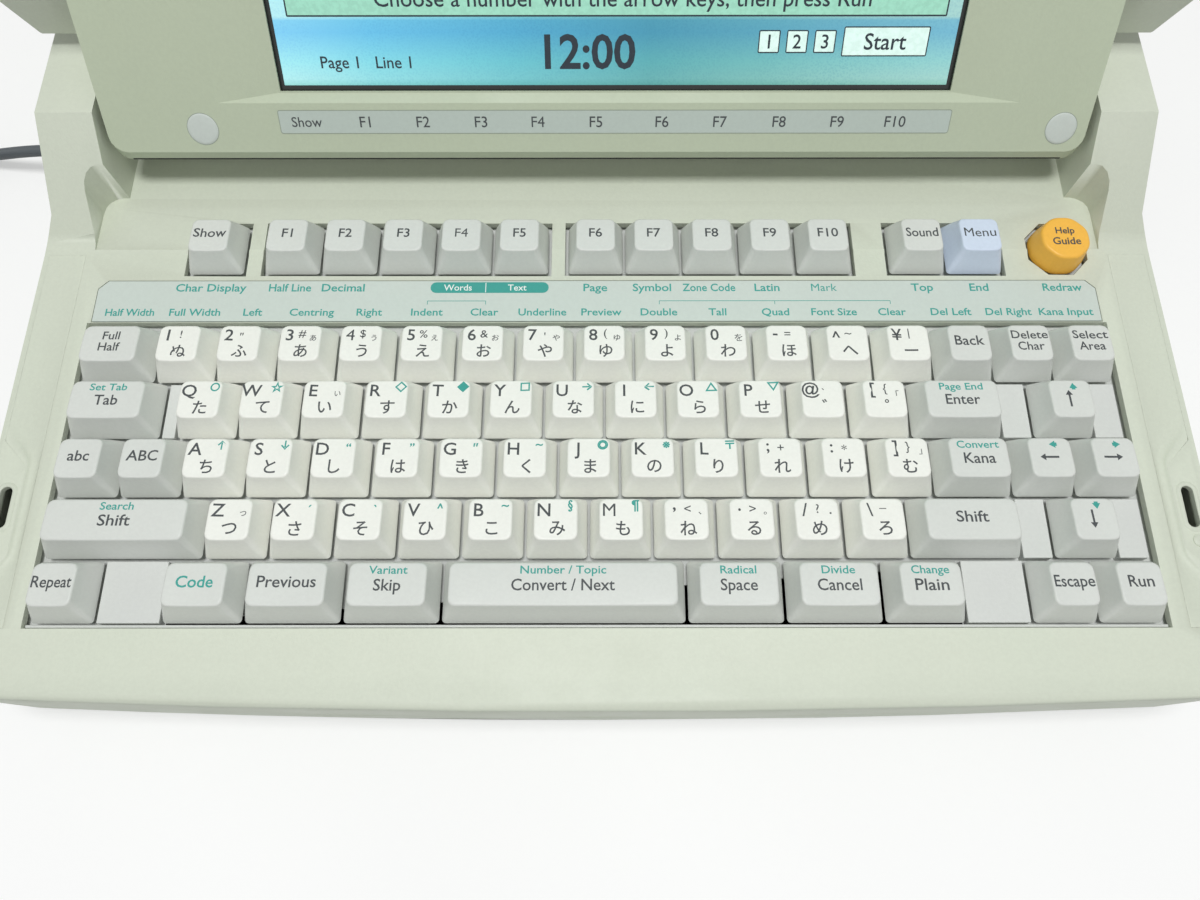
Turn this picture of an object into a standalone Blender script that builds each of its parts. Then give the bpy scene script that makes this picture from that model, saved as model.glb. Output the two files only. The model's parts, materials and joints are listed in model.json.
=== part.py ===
# Desktop word processor with a hinged screen lid, a full keyboard, a disk drive and a built-in printer.
# X runs to the right, Y to the rear and Z up. The origin lies on the table under the middle of the case.
# The lid stands open, leaning back, as it does in use.
import math

import bmesh
import bpy
from mathutils import Matrix, Vector

MM = 0.001
DEG = math.pi / 180.0

# Faces that meet at less than this are shaded as one round surface
SMOOTH_ANGLE = 35.0 * DEG

# Clearances and shared cut allowances
GAP = 0.3 * MM
OVERRUN = 2.0 * MM
WALL = 2.5 * MM

# Keys
KEY_PITCH = 19.05 * MM
KEY_GAP = 0.85 * MM
KEY_HEIGHT = 9.5 * MM
KEY_TOP_SIDE_INSET = 2.9 * MM
KEY_TOP_REAR_INSET = 1.7 * MM
KEY_TOP_FRONT_INSET = 3.6 * MM
KEY_BASE_CORNER = 1.2 * MM
KEY_TOP_CORNER = 2.2 * MM
KEY_TRAVEL = 3.2 * MM
KEY_STEM_SIDE = 5.0 * MM
KEY_STEM_LENGTH = 12.0 * MM
KEY_WEB_WIDTH = 3.0 * MM
KEY_WEB_THICKNESS = 1.2 * MM
GUIDE_KEY_RADIUS = 9.9 * MM
GUIDE_KEY_TOP_INSET = 1.6 * MM

# Keyboard well and side strips
WELL_SIDE_MARGIN = 1.7 * MM
WELL_FRONT_MARGIN = 1.1 * MM
WELL_REAR_MARGIN = 2.4 * MM
INNER_RIM_WIDTH = 5.2 * MM
CHANNEL_WIDTH = 12.2 * MM
CHANNEL_BESIDE_BOSS = 3.8 * MM
CHANNEL_DEPTH = 1.0 * MM
OUTER_RIM_WIDTH = 2.1 * MM
BOSS_LENGTH = 26.0 * MM
CHANNEL_LEAD = 36.3 * MM

# Key frame under the keys
FRAME_THICKNESS = 2.4 * MM
FRAME_FLANGE = 4.5 * MM
FRAME_LIP = 0.9 * MM
FRAME_LIP_DROP = 1.2 * MM
FILLER_DROP = 0.4 * MM
STEM_CLEARANCE = 0.35 * MM
MEMBRANE_THICKNESS = 1.6 * MM

# Depth of the case, from its front edge to the rear
PALM_DEPTH = 23.3 * MM
FUNCTION_ROW_SETBACK = 18.05 * MM
HINGE_SETBACK = 36.45 * MM
HOUSING_DEPTH = 128.4 * MM
FRONT_BOW = 4.2 * MM
FRONT_CORNER = 8.0 * MM
REAR_CORNER = 10.0 * MM

# Heights of the case
FOOT_HEIGHT = 3.0 * MM
FOOT_RADIUS = 9.0 * MM
FOOT_INSET = 26.0 * MM
LOWER_CASE_HEIGHT = 17.0 * MM
LOWER_CASE_CHAMFER = 5.0 * MM
KEY_PLANE_RISE = 24.0 * MM
DECK_RISE = 0.8 * MM
EDGE_ROUNDING = 2.2 * MM

# Rear shoulders and the trough of the lid
SHOULDER_RISE = 30.0 * MM
SHOULDER_WIDTH = 25.0 * MM
SHOULDER_FRONT_WIDTH = 17.2 * MM
SHOULDER_SLOPE = 44.0 * DEG
SHOULDER_FOOT_FILLET = 4.0 * MM
SHOULDER_TAPER = 7.0 * MM
SHOULDER_WAIST = 4.3 * MM
SHOULDER_WAIST_RISE = 7.0 * MM
CHEEK_FRONT_SETBACK = 25.5 * MM
CHEEK_FILLET = 6.0 * MM
CREST_TO_HINGE = 14.0 * MM
TROUGH_RADIUS = 22.5 * MM
REAR_EDGE_CHAMFER = 8.0 * MM

# Lid
LID_OPEN_ANGLE = 125.0 * DEG
HINGE_DEPTH = 4.4 * MM
BEZEL_RISE = 12.8 * MM
LID_LIP_RISE = 22.8 * MM
NECK_TAIL = 20.4 * MM
NECK_CHAMFER = 3.0 * MM
NECK_CORNER = 5.0 * MM
NECK_SIDE_GAP = 2.3 * MM
LID_FRONT_SETBACK = 2.6 * MM
LID_SIDE_TAPER = 6.0 * MM
LID_TAPER_RISE = 18.0 * MM
LID_TOP_INSET = 6.6 * MM
WING_GAP = 1.0 * MM
HINGE_PIN_RADIUS = 2.6 * MM
HINGE_PIN_BITE = 6.0 * MM
BEZEL_THICKNESS = 2.4 * MM
LID_WALL = 2.0 * MM

# Screen
SCREEN_WIDTH = 212.4 * MM
SCREEN_HEIGHT = 159.0 * MM
SCREEN_OFFSET = 6.0 * MM
SCREEN_ABOVE_NECK_END = 21.6 * MM
SCREEN_BORDER = 8.0 * MM
SCREEN_MODULE_THICKNESS = 6.5 * MM

# Latches
LATCH_REACH = 136.0 * MM
LATCH_INSET = 6.3 * MM
LATCH_SLOT_LENGTH = 13.4 * MM
LATCH_SLOT_WIDTH = 4.0 * MM
LATCH_THICKNESS = 3.0 * MM
LATCH_SHANK_LENGTH = 7.0 * MM
LATCH_BARB = 2.6 * MM
LATCH_BARB_THICKNESS = 2.4 * MM
LATCH_TRAVEL = 2.4 * MM
LATCH_PAD_THICKNESS = 1.8 * MM

# Label plate on the deck
LABEL_DEPTH = 14.9 * MM
LABEL_SETBACK = 0.5 * MM
LABEL_SIDE_MARGIN = 1.5 * MM
LABEL_CORNER = 3.0 * MM
LABEL_THICKNESS = 0.5 * MM
LABEL_PROUD = 0.15 * MM

# Disk drive on the right side
DRIVE_WIDTH = 101.0 * MM
DRIVE_DEPTH = 98.0 * MM
DRIVE_HEIGHT = 17.0 * MM
DRIVE_FLOOR_RISE = 21.0 * MM
DRIVE_SETBACK = 6.0 * MM
DISK_SLOT_WIDTH = 92.0 * MM
DISK_SLOT_HEIGHT = 4.8 * MM
DISK_SLOT_DEPTH = 88.0 * MM
DISK_SLOT_RISE = 8.6 * MM
EJECT_WIDTH = 13.0 * MM
EJECT_HEIGHT = 4.6 * MM
EJECT_DEPTH = 6.0 * MM
EJECT_RISE = 1.8 * MM
EJECT_SIDE = 33.0 * MM
EJECT_TRAVEL = 2.5 * MM
FRONT_RECESS = 0.6 * MM

# Printer in the rear housing
PLATEN_RADIUS = 10.0 * MM
PLATEN_LENGTH = 228.0 * MM
PLATEN_SHAFT_RADIUS = 3.0 * MM
PLATEN_FROM_REAR = 44.0 * MM
PLATEN_BELOW_TOP = 19.0 * MM
PRINTER_WALL = 3.0 * MM
PRINTER_WALL_DEPTH = 44.0 * MM
ROD_RADIUS = 2.5 * MM
ROD_AHEAD_OF_PLATEN = 19.0 * MM
ROD_BELOW_PLATEN = 7.0 * MM
HEAD_WIDTH = 26.0 * MM
HEAD_DEPTH = 11.0 * MM
HEAD_HEIGHT = 22.0 * MM
COVER_WIDTH = 262.0 * MM
COVER_DEPTH = 50.0 * MM
COVER_FROM_REAR = 31.0 * MM
COVER_THICKNESS = 2.4 * MM
COVER_SEAT = 3.0 * MM
COVER_RIM_DEPTH = 2.5 * MM
PAPER_SLOT_LENGTH = 226.0 * MM
PAPER_SLOT_WIDTH = 5.4 * MM
PAPER_SLOT_FROM_REAR = 17.0 * MM

# Boards and supply
BOARD_THICKNESS = 1.6 * MM
BOARD_WIDTH = 210.0 * MM
BOARD_DEPTH = 120.0 * MM
BOARD_RISE = 4.0 * MM
BOARD_SETBACK = 18.0 * MM
BOARD_LEFT_SETBACK = 22.0 * MM
CHIP_SIDE = 28.0 * MM
CHIP_HEIGHT = 3.5 * MM
STANDOFF_RADIUS = 3.5 * MM
SUPPLY_DEPTH = 96.0 * MM
SUPPLY_HEIGHT = 34.0 * MM
SUPPLY_SIDE_GAP = 4.0 * MM
SUPPLY_TRAY_GAP = 12.7 * MM
SUPPLY_REAR_SETBACK = 12.0 * MM

# Power switch and contrast wheel in the side walls
SWITCH_LENGTH = 15.0 * MM
SWITCH_HEIGHT = 9.0 * MM
SWITCH_DEPTH = 7.0 * MM
SWITCH_FROM_REAR = 70.0 * MM
SWITCH_RISE = 12.0 * MM
SWITCH_CLEARANCE = 0.5 * MM
SWITCH_RECESS = 1.2 * MM
SWITCH_ROCK = 6.0 * DEG
WHEEL_RADIUS = 9.0 * MM
WHEEL_THICKNESS = 3.4 * MM
WHEEL_SETBACK = 84.0 * MM
WHEEL_RISE = 9.0 * MM
WHEEL_INSET = 1.0 * MM
WHEEL_WINDOW = 14.0 * MM

# Power cord, its coil and plug
CORD_DIAMETER = 4.4 * MM
CORD_EXIT_FROM_REAR = 131.6 * MM
CORD_EXIT_RISE = 10.5 * MM
GLAND_LENGTH = 24.0 * MM
GLAND_BASE_RADIUS = 4.2 * MM
GLAND_TIP_RADIUS = 3.1 * MM
CORD_LIFT = 0.3 * MM
CORD_SHIFT = 5.8 * MM
CORD_POINT_SPACING = 10.0 * MM
CORD_FALL_LENGTH = 52.0 * MM
CORD_SHIFT_LENGTH = 60.0 * MM
COIL_LEAD = 9.0 * MM
COIL_TURNS = 10.25
COIL_LAYERS = 4
COIL_OUTER_RADIUS = 33.2 * MM
COIL_PITCH = 5.2 * MM
COIL_LAYER_STEP = 5.2 * MM
COIL_CLIMB_TURNS = 0.5
COIL_POINTS_PER_TURN = 24
COIL_DISTANCE = 104.0 * MM
PLUG_LENGTH = 26.0 * MM
PLUG_WIDTH = 20.0 * MM
PLUG_HEIGHT = 14.0 * MM
PLUG_NECK_LENGTH = 8.0 * MM
PLUG_LEAD = 46.0 * MM
PLUG_NECK_WALL = 1.4 * MM
PLUG_CORNER_SHARE = 0.45
BLADE_LENGTH = 17.0 * MM
BLADE_WIDTH = 6.3 * MM
BLADE_THICKNESS = 1.5 * MM
BLADE_SPACING = 12.7 * MM

# Key rows, in key widths from left to right.
# A key is (width, colour kind, node name), and a filler has no name.
WHITE = "white"
GREY = "grey"
FILLER = "filler"
ROW_1_SHARES = (
    [(1.25, GREY, "width_key")]
    + [(1.0, WHITE, "white_keys_row_1")] * 13
    + [(1.0, GREY, "edit_keys")] * 3
)
ROW_2_SHARES = (
    [(1.5, GREY, "tab_key"), (0.25, FILLER, "")]
    + [(1.0, WHITE, "white_keys_row_2")] * 12
    + [(1.5, GREY, "return_key"), (0.5, FILLER, ""), (1.0, GREY, "arrow_up_key"), (0.5, FILLER, "")]
)
ROW_3_SHARES = (
    [(1.0, GREY, "case_keys")] * 2
    + [(1.0, WHITE, "white_keys_row_3")] * 12
    + [(1.25, GREY, "kana_key"), (1.0, GREY, "arrow_left_key"), (1.0, GREY, "arrow_right_key")]
)
ROW_4_SHARES = (
    [(2.5, GREY, "shift_key_left")]
    + [(1.0, WHITE, "white_keys_row_4")] * 11
    + [(1.75, GREY, "shift_key_right"), (0.5, FILLER, ""), (1.0, GREY, "arrow_down_key"), (0.5, FILLER, "")]
)
ROW_5_SHARES = [
    (1.0, GREY, "repeat_key"),
    (1.0, FILLER, ""),
    (1.25, GREY, "code_key"),
    (1.5, GREY, "candidate_keys"),
    (1.5, GREY, "candidate_keys"),
    (3.75, GREY, "convert_key"),
    (1.5, GREY, "space_key"),
    (1.5, GREY, "cancel_keys"),
    (1.25, GREY, "cancel_keys"),
    (1.0, FILLER, ""),
    (1.0, GREY, "run_keys"),
    (1.0, GREY, "run_keys"),
]
ROWS_SHARES = [ROW_1_SHARES, ROW_2_SHARES, ROW_3_SHARES, ROW_4_SHARES, ROW_5_SHARES]
FIELD_WIDTH_SHARE = 17.25

# Function row: (first key's left edge in key widths from the middle, number of keys, node name)
FUNCTION_KEYS_SHARES = [
    (-7.16, 1, "display_key"),
    (-5.83, 5, "function_keys_left"),
    (-0.52, 5, "function_keys_right"),
    (5.10, 1, "dictionary_key"),
    (6.10, 1, "menu_key"),
]
FUNCTION_HOLES_SHARES = [(-7.16, 1), (-5.83, 5), (-0.52, 5), (5.10, 2)]
GUIDE_KEY_SHARE = 8.1

# Places worked out from the sizes above
FIELD_HALF_WIDTH = FIELD_WIDTH_SHARE * KEY_PITCH / 2
WELL_HALF_WIDTH = FIELD_HALF_WIDTH + WELL_SIDE_MARGIN
CHANNEL_INNER_X = WELL_HALF_WIDTH + INNER_RIM_WIDTH
CHANNEL_OUTER_X = CHANNEL_INNER_X + CHANNEL_WIDTH
HALF_WIDTH = CHANNEL_OUTER_X + OUTER_RIM_WIDTH
ROWS = len(ROWS_SHARES)
KEYS_FROM_FRONT = PALM_DEPTH + WELL_FRONT_MARGIN
WELL_REAR_FROM_FRONT = KEYS_FROM_FRONT + ROWS * KEY_PITCH + WELL_REAR_MARGIN
FUNCTION_ROW_FROM_FRONT = WELL_REAR_FROM_FRONT + FUNCTION_ROW_SETBACK
FUNCTION_ROW_REAR = FUNCTION_ROW_FROM_FRONT + KEY_PITCH
HINGE_FROM_FRONT = FUNCTION_ROW_REAR + HINGE_SETBACK
HOUSING_FROM_FRONT = HINGE_FROM_FRONT + TROUGH_RADIUS
DEPTH = HOUSING_FROM_FRONT + HOUSING_DEPTH
FRONT_Y = -DEPTH / 2
REAR_Y = DEPTH / 2
KEYS_Y = FRONT_Y + KEYS_FROM_FRONT
WELL_FRONT_Y = FRONT_Y + PALM_DEPTH
WELL_REAR_Y = FRONT_Y + WELL_REAR_FROM_FRONT
FUNCTION_ROW_Y = FRONT_Y + FUNCTION_ROW_FROM_FRONT
HINGE_Y = FRONT_Y + HINGE_FROM_FRONT
HOUSING_Y = FRONT_Y + HOUSING_FROM_FRONT
CREST_Y = HINGE_Y - CREST_TO_HINGE
CHEEK_Y = HINGE_Y - CHEEK_FRONT_SETBACK
PARTING_Z = FOOT_HEIGHT + LOWER_CASE_HEIGHT
KEY_Z = PARTING_Z + KEY_PLANE_RISE
DECK_Z = KEY_Z + DECK_RISE
CEILING_Z = DECK_Z - WALL
TOP_Z = KEY_Z + SHOULDER_RISE
HINGE_Z = TOP_Z - HINGE_DEPTH
FLOOR_Z = FOOT_HEIGHT + WALL
FRAME_TOP_Z = KEY_Z - KEY_TRAVEL - GAP
FRAME_BOTTOM_Z = FRAME_TOP_Z - FRAME_THICKNESS
MEMBRANE_TOP_Z = KEY_Z - KEY_STEM_LENGTH - KEY_TRAVEL - GAP
CHEEK_X = HALF_WIDTH - SHOULDER_WIDTH
SHOULDER_FRONT_X = HALF_WIDTH - SHOULDER_FRONT_WIDTH
NECK_HALF_WIDTH = CHEEK_X - NECK_SIDE_GAP
NECK_TOP_HALF_WIDTH = SHOULDER_FRONT_X - NECK_SIDE_GAP
LID_REACH = HINGE_FROM_FRONT - LID_FRONT_SETBACK
LATCH_X = HALF_WIDTH - LATCH_INSET
LATCH_Y = HINGE_Y - LATCH_REACH
PLATEN_Y = REAR_Y - PLATEN_FROM_REAR
PLATEN_Z = TOP_Z - PLATEN_BELOW_TOP
PRINTER_WALL_X = PLATEN_LENGTH / 2 + GAP
SUPPLY_X1 = -PRINTER_WALL_X - PRINTER_WALL - SUPPLY_SIDE_GAP
SUPPLY_X0 = -HALF_WIDTH + LOWER_CASE_CHAMFER + WALL + SUPPLY_TRAY_GAP
ROD_Y = PLATEN_Y - ROD_AHEAD_OF_PLATEN
ROD_Z = PLATEN_Z - ROD_BELOW_PLATEN
DRIVE_X0 = HALF_WIDTH - FRONT_RECESS - DRIVE_DEPTH
DRIVE_X1 = HALF_WIDTH - FRONT_RECESS
DRIVE_Y0 = FRONT_Y + FUNCTION_ROW_REAR + DRIVE_SETBACK
DRIVE_Y1 = DRIVE_Y0 + DRIVE_WIDTH
DRIVE_Z0 = FOOT_HEIGHT + DRIVE_FLOOR_RISE
DRIVE_Z1 = DRIVE_Z0 + DRIVE_HEIGHT
CORD_EXIT_Y = REAR_Y - CORD_EXIT_FROM_REAR
CORD_EXIT_Z = FOOT_HEIGHT + CORD_EXIT_RISE
CORD_START_X = -HALF_WIDTH - GAP - GLAND_LENGTH - GAP
CORD_LOW_Z = CORD_DIAMETER / 2 + CORD_LIFT
COIL_X = -HALF_WIDTH - COIL_DISTANCE
COIL_START_Y = CORD_EXIT_Y + CORD_SHIFT
COIL_Y = COIL_START_Y - COIL_OUTER_RADIUS


def clear_scene():
    """Removes every object, so the script gives the same model each time."""
    for item in list(bpy.data.objects):
        bpy.data.objects.remove(item, do_unlink=True)


def make_material(name, colour, roughness, metallic):
    material = bpy.data.materials.new(name)
    material.use_nodes = True
    shader = material.node_tree.nodes["Principled BSDF"]
    shader.inputs["Base Color"].default_value = (*colour, 1.0)
    shader.inputs["Roughness"].default_value = roughness
    shader.inputs["Metallic"].default_value = metallic
    return material


def make_object(name, bm, material):
    bmesh.ops.recalc_face_normals(bm, faces=bm.faces)
    mesh = bpy.data.meshes.new(name)
    bm.to_mesh(mesh)
    bm.free()
    if material:
        mesh.materials.append(material)
    item = bpy.data.objects.new(name, mesh)
    bpy.context.scene.collection.objects.link(item)
    return item


def loft(rings, material=None, name="form"):
    """One closed solid through rings of equally many points, with flat ends."""
    bm = bmesh.new()
    layers = [[bm.verts.new(point) for point in ring] for ring in rings]
    count = len(rings[0])
    for lower, upper in zip(layers, layers[1:]):
        for i in range(count):
            j = (i + 1) % count
            bm.faces.new((lower[i], lower[j], upper[j], upper[i]))
    bm.faces.new(list(reversed(layers[0])))
    bm.faces.new(layers[-1])
    return make_object(name, bm, material)


def prism_z(outline, z0, z1, material=None, name="form"):
    """A plan outline of (x, y) points raised from z0 to z1."""
    return loft([[(x, y, z0) for x, y in outline], [(x, y, z1) for x, y in outline]], material, name)


def prism_x(outline, x0, x1, material=None, name="form"):
    """A side outline of (y, z) points drawn from x0 to x1."""
    return loft([[(x0, y, z) for y, z in outline], [(x1, y, z) for y, z in outline]], material, name)


def prism_y(outline, y0, y1, material=None, name="form"):
    """A front outline of (x, z) points drawn from y0 to y1."""
    return loft([[(x, y0, z) for x, z in outline], [(x, y1, z) for x, z in outline]], material, name)


def block(x0, x1, y0, y1, z0, z1, material=None, name="form"):
    return prism_z([(x0, y0), (x1, y0), (x1, y1), (x0, y1)], z0, z1, material, name)


def circle_points(cx, cy, radius, sides, turn=0.0):
    step = 2 * math.pi / sides
    return [
        (cx + radius * math.cos(turn + i * step), cy + radius * math.sin(turn + i * step))
        for i in range(sides)
    ]


def rod_x(y, z, radius, x0, x1, sides=16, material=None, name="form"):
    return prism_x(circle_points(y, z, radius, sides), x0, x1, material, name)


def rod_z(x, y, radius, z0, z1, sides=16, material=None, name="form"):
    return prism_z(circle_points(x, y, radius, sides), z0, z1, material, name)


def combine(body, others, operation):
    """Applies one exact Boolean with each of the others, which are then removed."""
    for other in others:
        modifier = body.modifiers.new("combine", "BOOLEAN")
        modifier.operation = operation
        modifier.solver = "EXACT"
        modifier.object = other
        graph = bpy.context.evaluated_depsgraph_get()
        mesh = bpy.data.meshes.new_from_object(body.evaluated_get(graph))
        body.modifiers.clear()
        body.data = mesh
        bpy.data.objects.remove(other, do_unlink=True)
    return body


def cut(body, *others):
    return combine(body, others, "DIFFERENCE")


def join(body, *others):
    return combine(body, others, "UNION")


def keep_inside(body, *others):
    return combine(body, others, "INTERSECT")


def finish(body, name, material):
    """Names a finished piece, gives it its material and shades its round faces smooth."""
    body.name = name
    body.data.name = name
    body.data.materials.clear()
    body.data.materials.append(material)
    body.data.shade_smooth()
    body.data.set_sharp_from_angle(angle=SMOOTH_ANGLE)
    return body


PLASTIC_CASE = ("case_plastic", (0.605, 0.652, 0.515), 0.52, 0.0)
PLASTIC_BEZEL = ("bezel_plastic", (0.500, 0.560, 0.410), 0.55, 0.0)
PLASTIC_WHITE = ("white_key_plastic", (0.880, 0.885, 0.840), 0.45, 0.0)
PLASTIC_GREY = ("grey_key_plastic", (0.640, 0.665, 0.635), 0.45, 0.0)
PLASTIC_BLUE = ("blue_key_plastic", (0.560, 0.650, 0.780), 0.45, 0.0)
PLASTIC_ORANGE = ("orange_key_plastic", (0.860, 0.420, 0.070), 0.45, 0.0)
PLASTIC_FRAME = ("frame_plastic", (0.560, 0.580, 0.550), 0.55, 0.0)
PLASTIC_DARK = ("dark_plastic", (0.045, 0.048, 0.050), 0.50, 0.0)
LABEL_FILM = ("label_film", (0.560, 0.625, 0.600), 0.45, 0.0)
SCREEN_GLASS = ("screen_glass", (0.180, 0.420, 0.440), 0.15, 0.0)
STEEL = ("plated_steel", (0.560, 0.570, 0.580), 0.35, 1.0)
BOARD_GREEN = ("board_resin", (0.050, 0.190, 0.090), 0.50, 0.0)
MEMBRANE_FILM = ("membrane_rubber", (0.420, 0.430, 0.420), 0.65, 0.0)
FOOT_RUBBER = ("foot_rubber", (0.060, 0.060, 0.062), 0.85, 0.0)
PLATEN_RUBBER = ("platen_rubber", (0.040, 0.040, 0.042), 0.75, 0.0)
CORD_VINYL = ("cord_vinyl", (0.180, 0.190, 0.195), 0.55, 0.0)
BRASS = ("plated_brass", (0.700, 0.600, 0.350), 0.30, 1.0)
ALL_MATERIALS = [
    PLASTIC_CASE, PLASTIC_BEZEL, PLASTIC_WHITE, PLASTIC_GREY, PLASTIC_BLUE, PLASTIC_ORANGE, PLASTIC_FRAME,
    PLASTIC_DARK, LABEL_FILM, SCREEN_GLASS, STEEL, BOARD_GREEN, MEMBRANE_FILM, FOOT_RUBBER, PLATEN_RUBBER,
    CORD_VINYL, BRASS,
]

FRONT_ARC_STEPS = 10
CORNER_STEPS = 4


def arc(cx, cy, radius, start, end, steps):
    return [
        (cx + radius * math.cos(start + (end - start) * i / steps),
         cy + radius * math.sin(start + (end - start) * i / steps))
        for i in range(steps + 1)
    ]


def case_outline(inset=0.0, front_inset=None):
    """Plan outline of the case: bowed front edge, straight sides, round corners."""
    front_inset = inset if front_inset is None else front_inset
    half = HALF_WIDTH - inset
    front = FRONT_Y + front_inset
    rear = REAR_Y - inset
    front_radius = max(FRONT_CORNER - inset, GAP)
    rear_radius = max(REAR_CORNER - inset, GAP)
    reach = half - front_radius
    points = []
    for i in range(FRONT_ARC_STEPS + 1):
        x = reach * (2 * i / FRONT_ARC_STEPS - 1)
        points.append((x, front + FRONT_BOW * (x / HALF_WIDTH) ** 2))
    corner_y = points[-1][1] + front_radius
    points += arc(reach, corner_y, front_radius, -math.pi / 2, 0.0, CORNER_STEPS)[1:]
    side = half - rear_radius
    points += arc(side, rear - rear_radius, rear_radius, 0.0, math.pi / 2, CORNER_STEPS)
    points += arc(-side, rear - rear_radius, rear_radius, math.pi / 2, math.pi, CORNER_STEPS)
    points += arc(-reach, corner_y, front_radius, math.pi, 3 * math.pi / 2, CORNER_STEPS)[:-1]
    return points


def mirrored(section):
    """Closes half of a section, given from the bottom up at +X, by its mirror image."""
    return section + [(-x, z) for x, z in reversed(section)]


# Keys

def key_rectangle(width, corner, left, right, front, rear):
    """Eight points round a key's rectangle, two at each cut corner."""
    x0, x1 = left, width - right
    y0, y1 = front, KEY_PITCH - rear
    return [
        (x0 + corner, y0), (x1 - corner, y0), (x1, y0 + corner), (x1, y1 - corner),
        (x1 - corner, y1), (x0 + corner, y1), (x0, y1 - corner), (x0, y0 + corner),
    ]


def add_key(bm, outline_base, outline_top, centre):
    """A keycap with its square stem, as one closed shell."""
    base = [bm.verts.new((x, y, KEY_Z)) for x, y in outline_base]
    top = [bm.verts.new((x, y, KEY_Z + KEY_HEIGHT)) for x, y in outline_top]
    half = KEY_STEM_SIDE / 2
    corners = [(-half, -half), (half, -half), (half, half), (-half, half)]
    stem_top = [bm.verts.new((centre[0] + x, centre[1] + y, KEY_Z)) for x, y in corners]
    stem_z = KEY_Z - KEY_STEM_LENGTH
    stem_end = [bm.verts.new((centre[0] + x, centre[1] + y, stem_z)) for x, y in corners]
    count = len(base)
    for i in range(count):
        j = (i + 1) % count
        bm.faces.new((base[i], base[j], top[j], top[i]))
    bm.faces.new(top)
    # Base ring: two ring points sit at each cut corner, opposite one stem corner
    ring_corners = [(7, 0), (1, 2), (3, 4), (5, 6)]
    for i, (first, second) in enumerate(ring_corners):
        following = ring_corners[(i + 1) % 4][0]
        bm.faces.new((base[second], base[first], stem_top[i]))
        bm.faces.new((base[following], base[second], stem_top[i], stem_top[(i + 1) % 4]))
    for i in range(4):
        j = (i + 1) % 4
        bm.faces.new((stem_top[j], stem_top[i], stem_end[i], stem_end[j]))
    bm.faces.new(list(reversed(stem_end)))


def add_square_key(bm, x, y, width_share):
    """A key of the given width in pitches whose cell starts at x, y. Returns its middle."""
    width = width_share * KEY_PITCH
    edge = KEY_GAP / 2
    base = key_rectangle(width, KEY_BASE_CORNER, edge, edge, edge, edge)
    side = edge + KEY_TOP_SIDE_INSET
    front = edge + KEY_TOP_FRONT_INSET
    rear = edge + KEY_TOP_REAR_INSET
    top = key_rectangle(width, KEY_TOP_CORNER, side, side, front, rear)
    centre = (x + width / 2, y + KEY_PITCH / 2)
    add_key(
        bm,
        [(x + px, y + py) for px, py in base],
        [(x + px, y + py) for px, py in top],
        centre,
    )
    return centre


def key_places():
    """Every key as node, left edge, front edge and width share, and every filler's rectangle."""
    keys = []
    fillers = []
    for row, cells in enumerate(ROWS_SHARES):
        x = -FIELD_HALF_WIDTH
        y = KEYS_Y + (ROWS - 1 - row) * KEY_PITCH
        for width_share, kind, name in cells:
            if kind == FILLER:
                fillers.append((x, y, width_share * KEY_PITCH))
            else:
                keys.append((name, kind, x, y, width_share))
            x += width_share * KEY_PITCH
    for left_share, count, name in FUNCTION_KEYS_SHARES:
        for i in range(count):
            keys.append((name, GREY, (left_share + i) * KEY_PITCH, FUNCTION_ROW_Y, 1.0))
    return keys, fillers


def guide_key_centre():
    return GUIDE_KEY_SHARE * KEY_PITCH, FUNCTION_ROW_Y + KEY_PITCH / 2


def build_keys(materials):
    """Each node holds one key, or a run of keys tied by a thin web under their skirts."""
    keys, _ = key_places()
    names = list(dict.fromkeys(name for name, *_ in keys))
    centres = []
    for name in names:
        bm = bmesh.new()
        own = [add_square_key(bm, x, y, share) for node, _, x, y, share in keys if node == name]
        kind = next(kind for node, kind, *_ in keys if node == name)
        material = materials["white_key_plastic" if kind == WHITE else "grey_key_plastic"]
        if name == "menu_key":
            material = materials["blue_key_plastic"]
        item = make_object(name, bm, material)
        if len(own) > 1:
            y = own[0][1]
            web = block(
                own[0][0], own[-1][0], y - KEY_WEB_WIDTH / 2, y + KEY_WEB_WIDTH / 2,
                KEY_Z + GAP, KEY_Z + GAP + KEY_WEB_THICKNESS,
            )
            join(item, web)
        finish(item, name, material)
        centres += own
    bm = bmesh.new()
    x, y = guide_key_centre()
    turn = math.pi / 8
    order = circle_points(x, y, GUIDE_KEY_RADIUS, 8, turn - 5 * math.pi / 8)
    top = circle_points(x, y, GUIDE_KEY_RADIUS - GUIDE_KEY_TOP_INSET, 8, turn - 5 * math.pi / 8)
    add_key(bm, order, top, (x, y))
    finish(make_object("guide_key", bm, None), "guide_key", materials["orange_key_plastic"])
    return centres + [(x, y)]


# Casings

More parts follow.
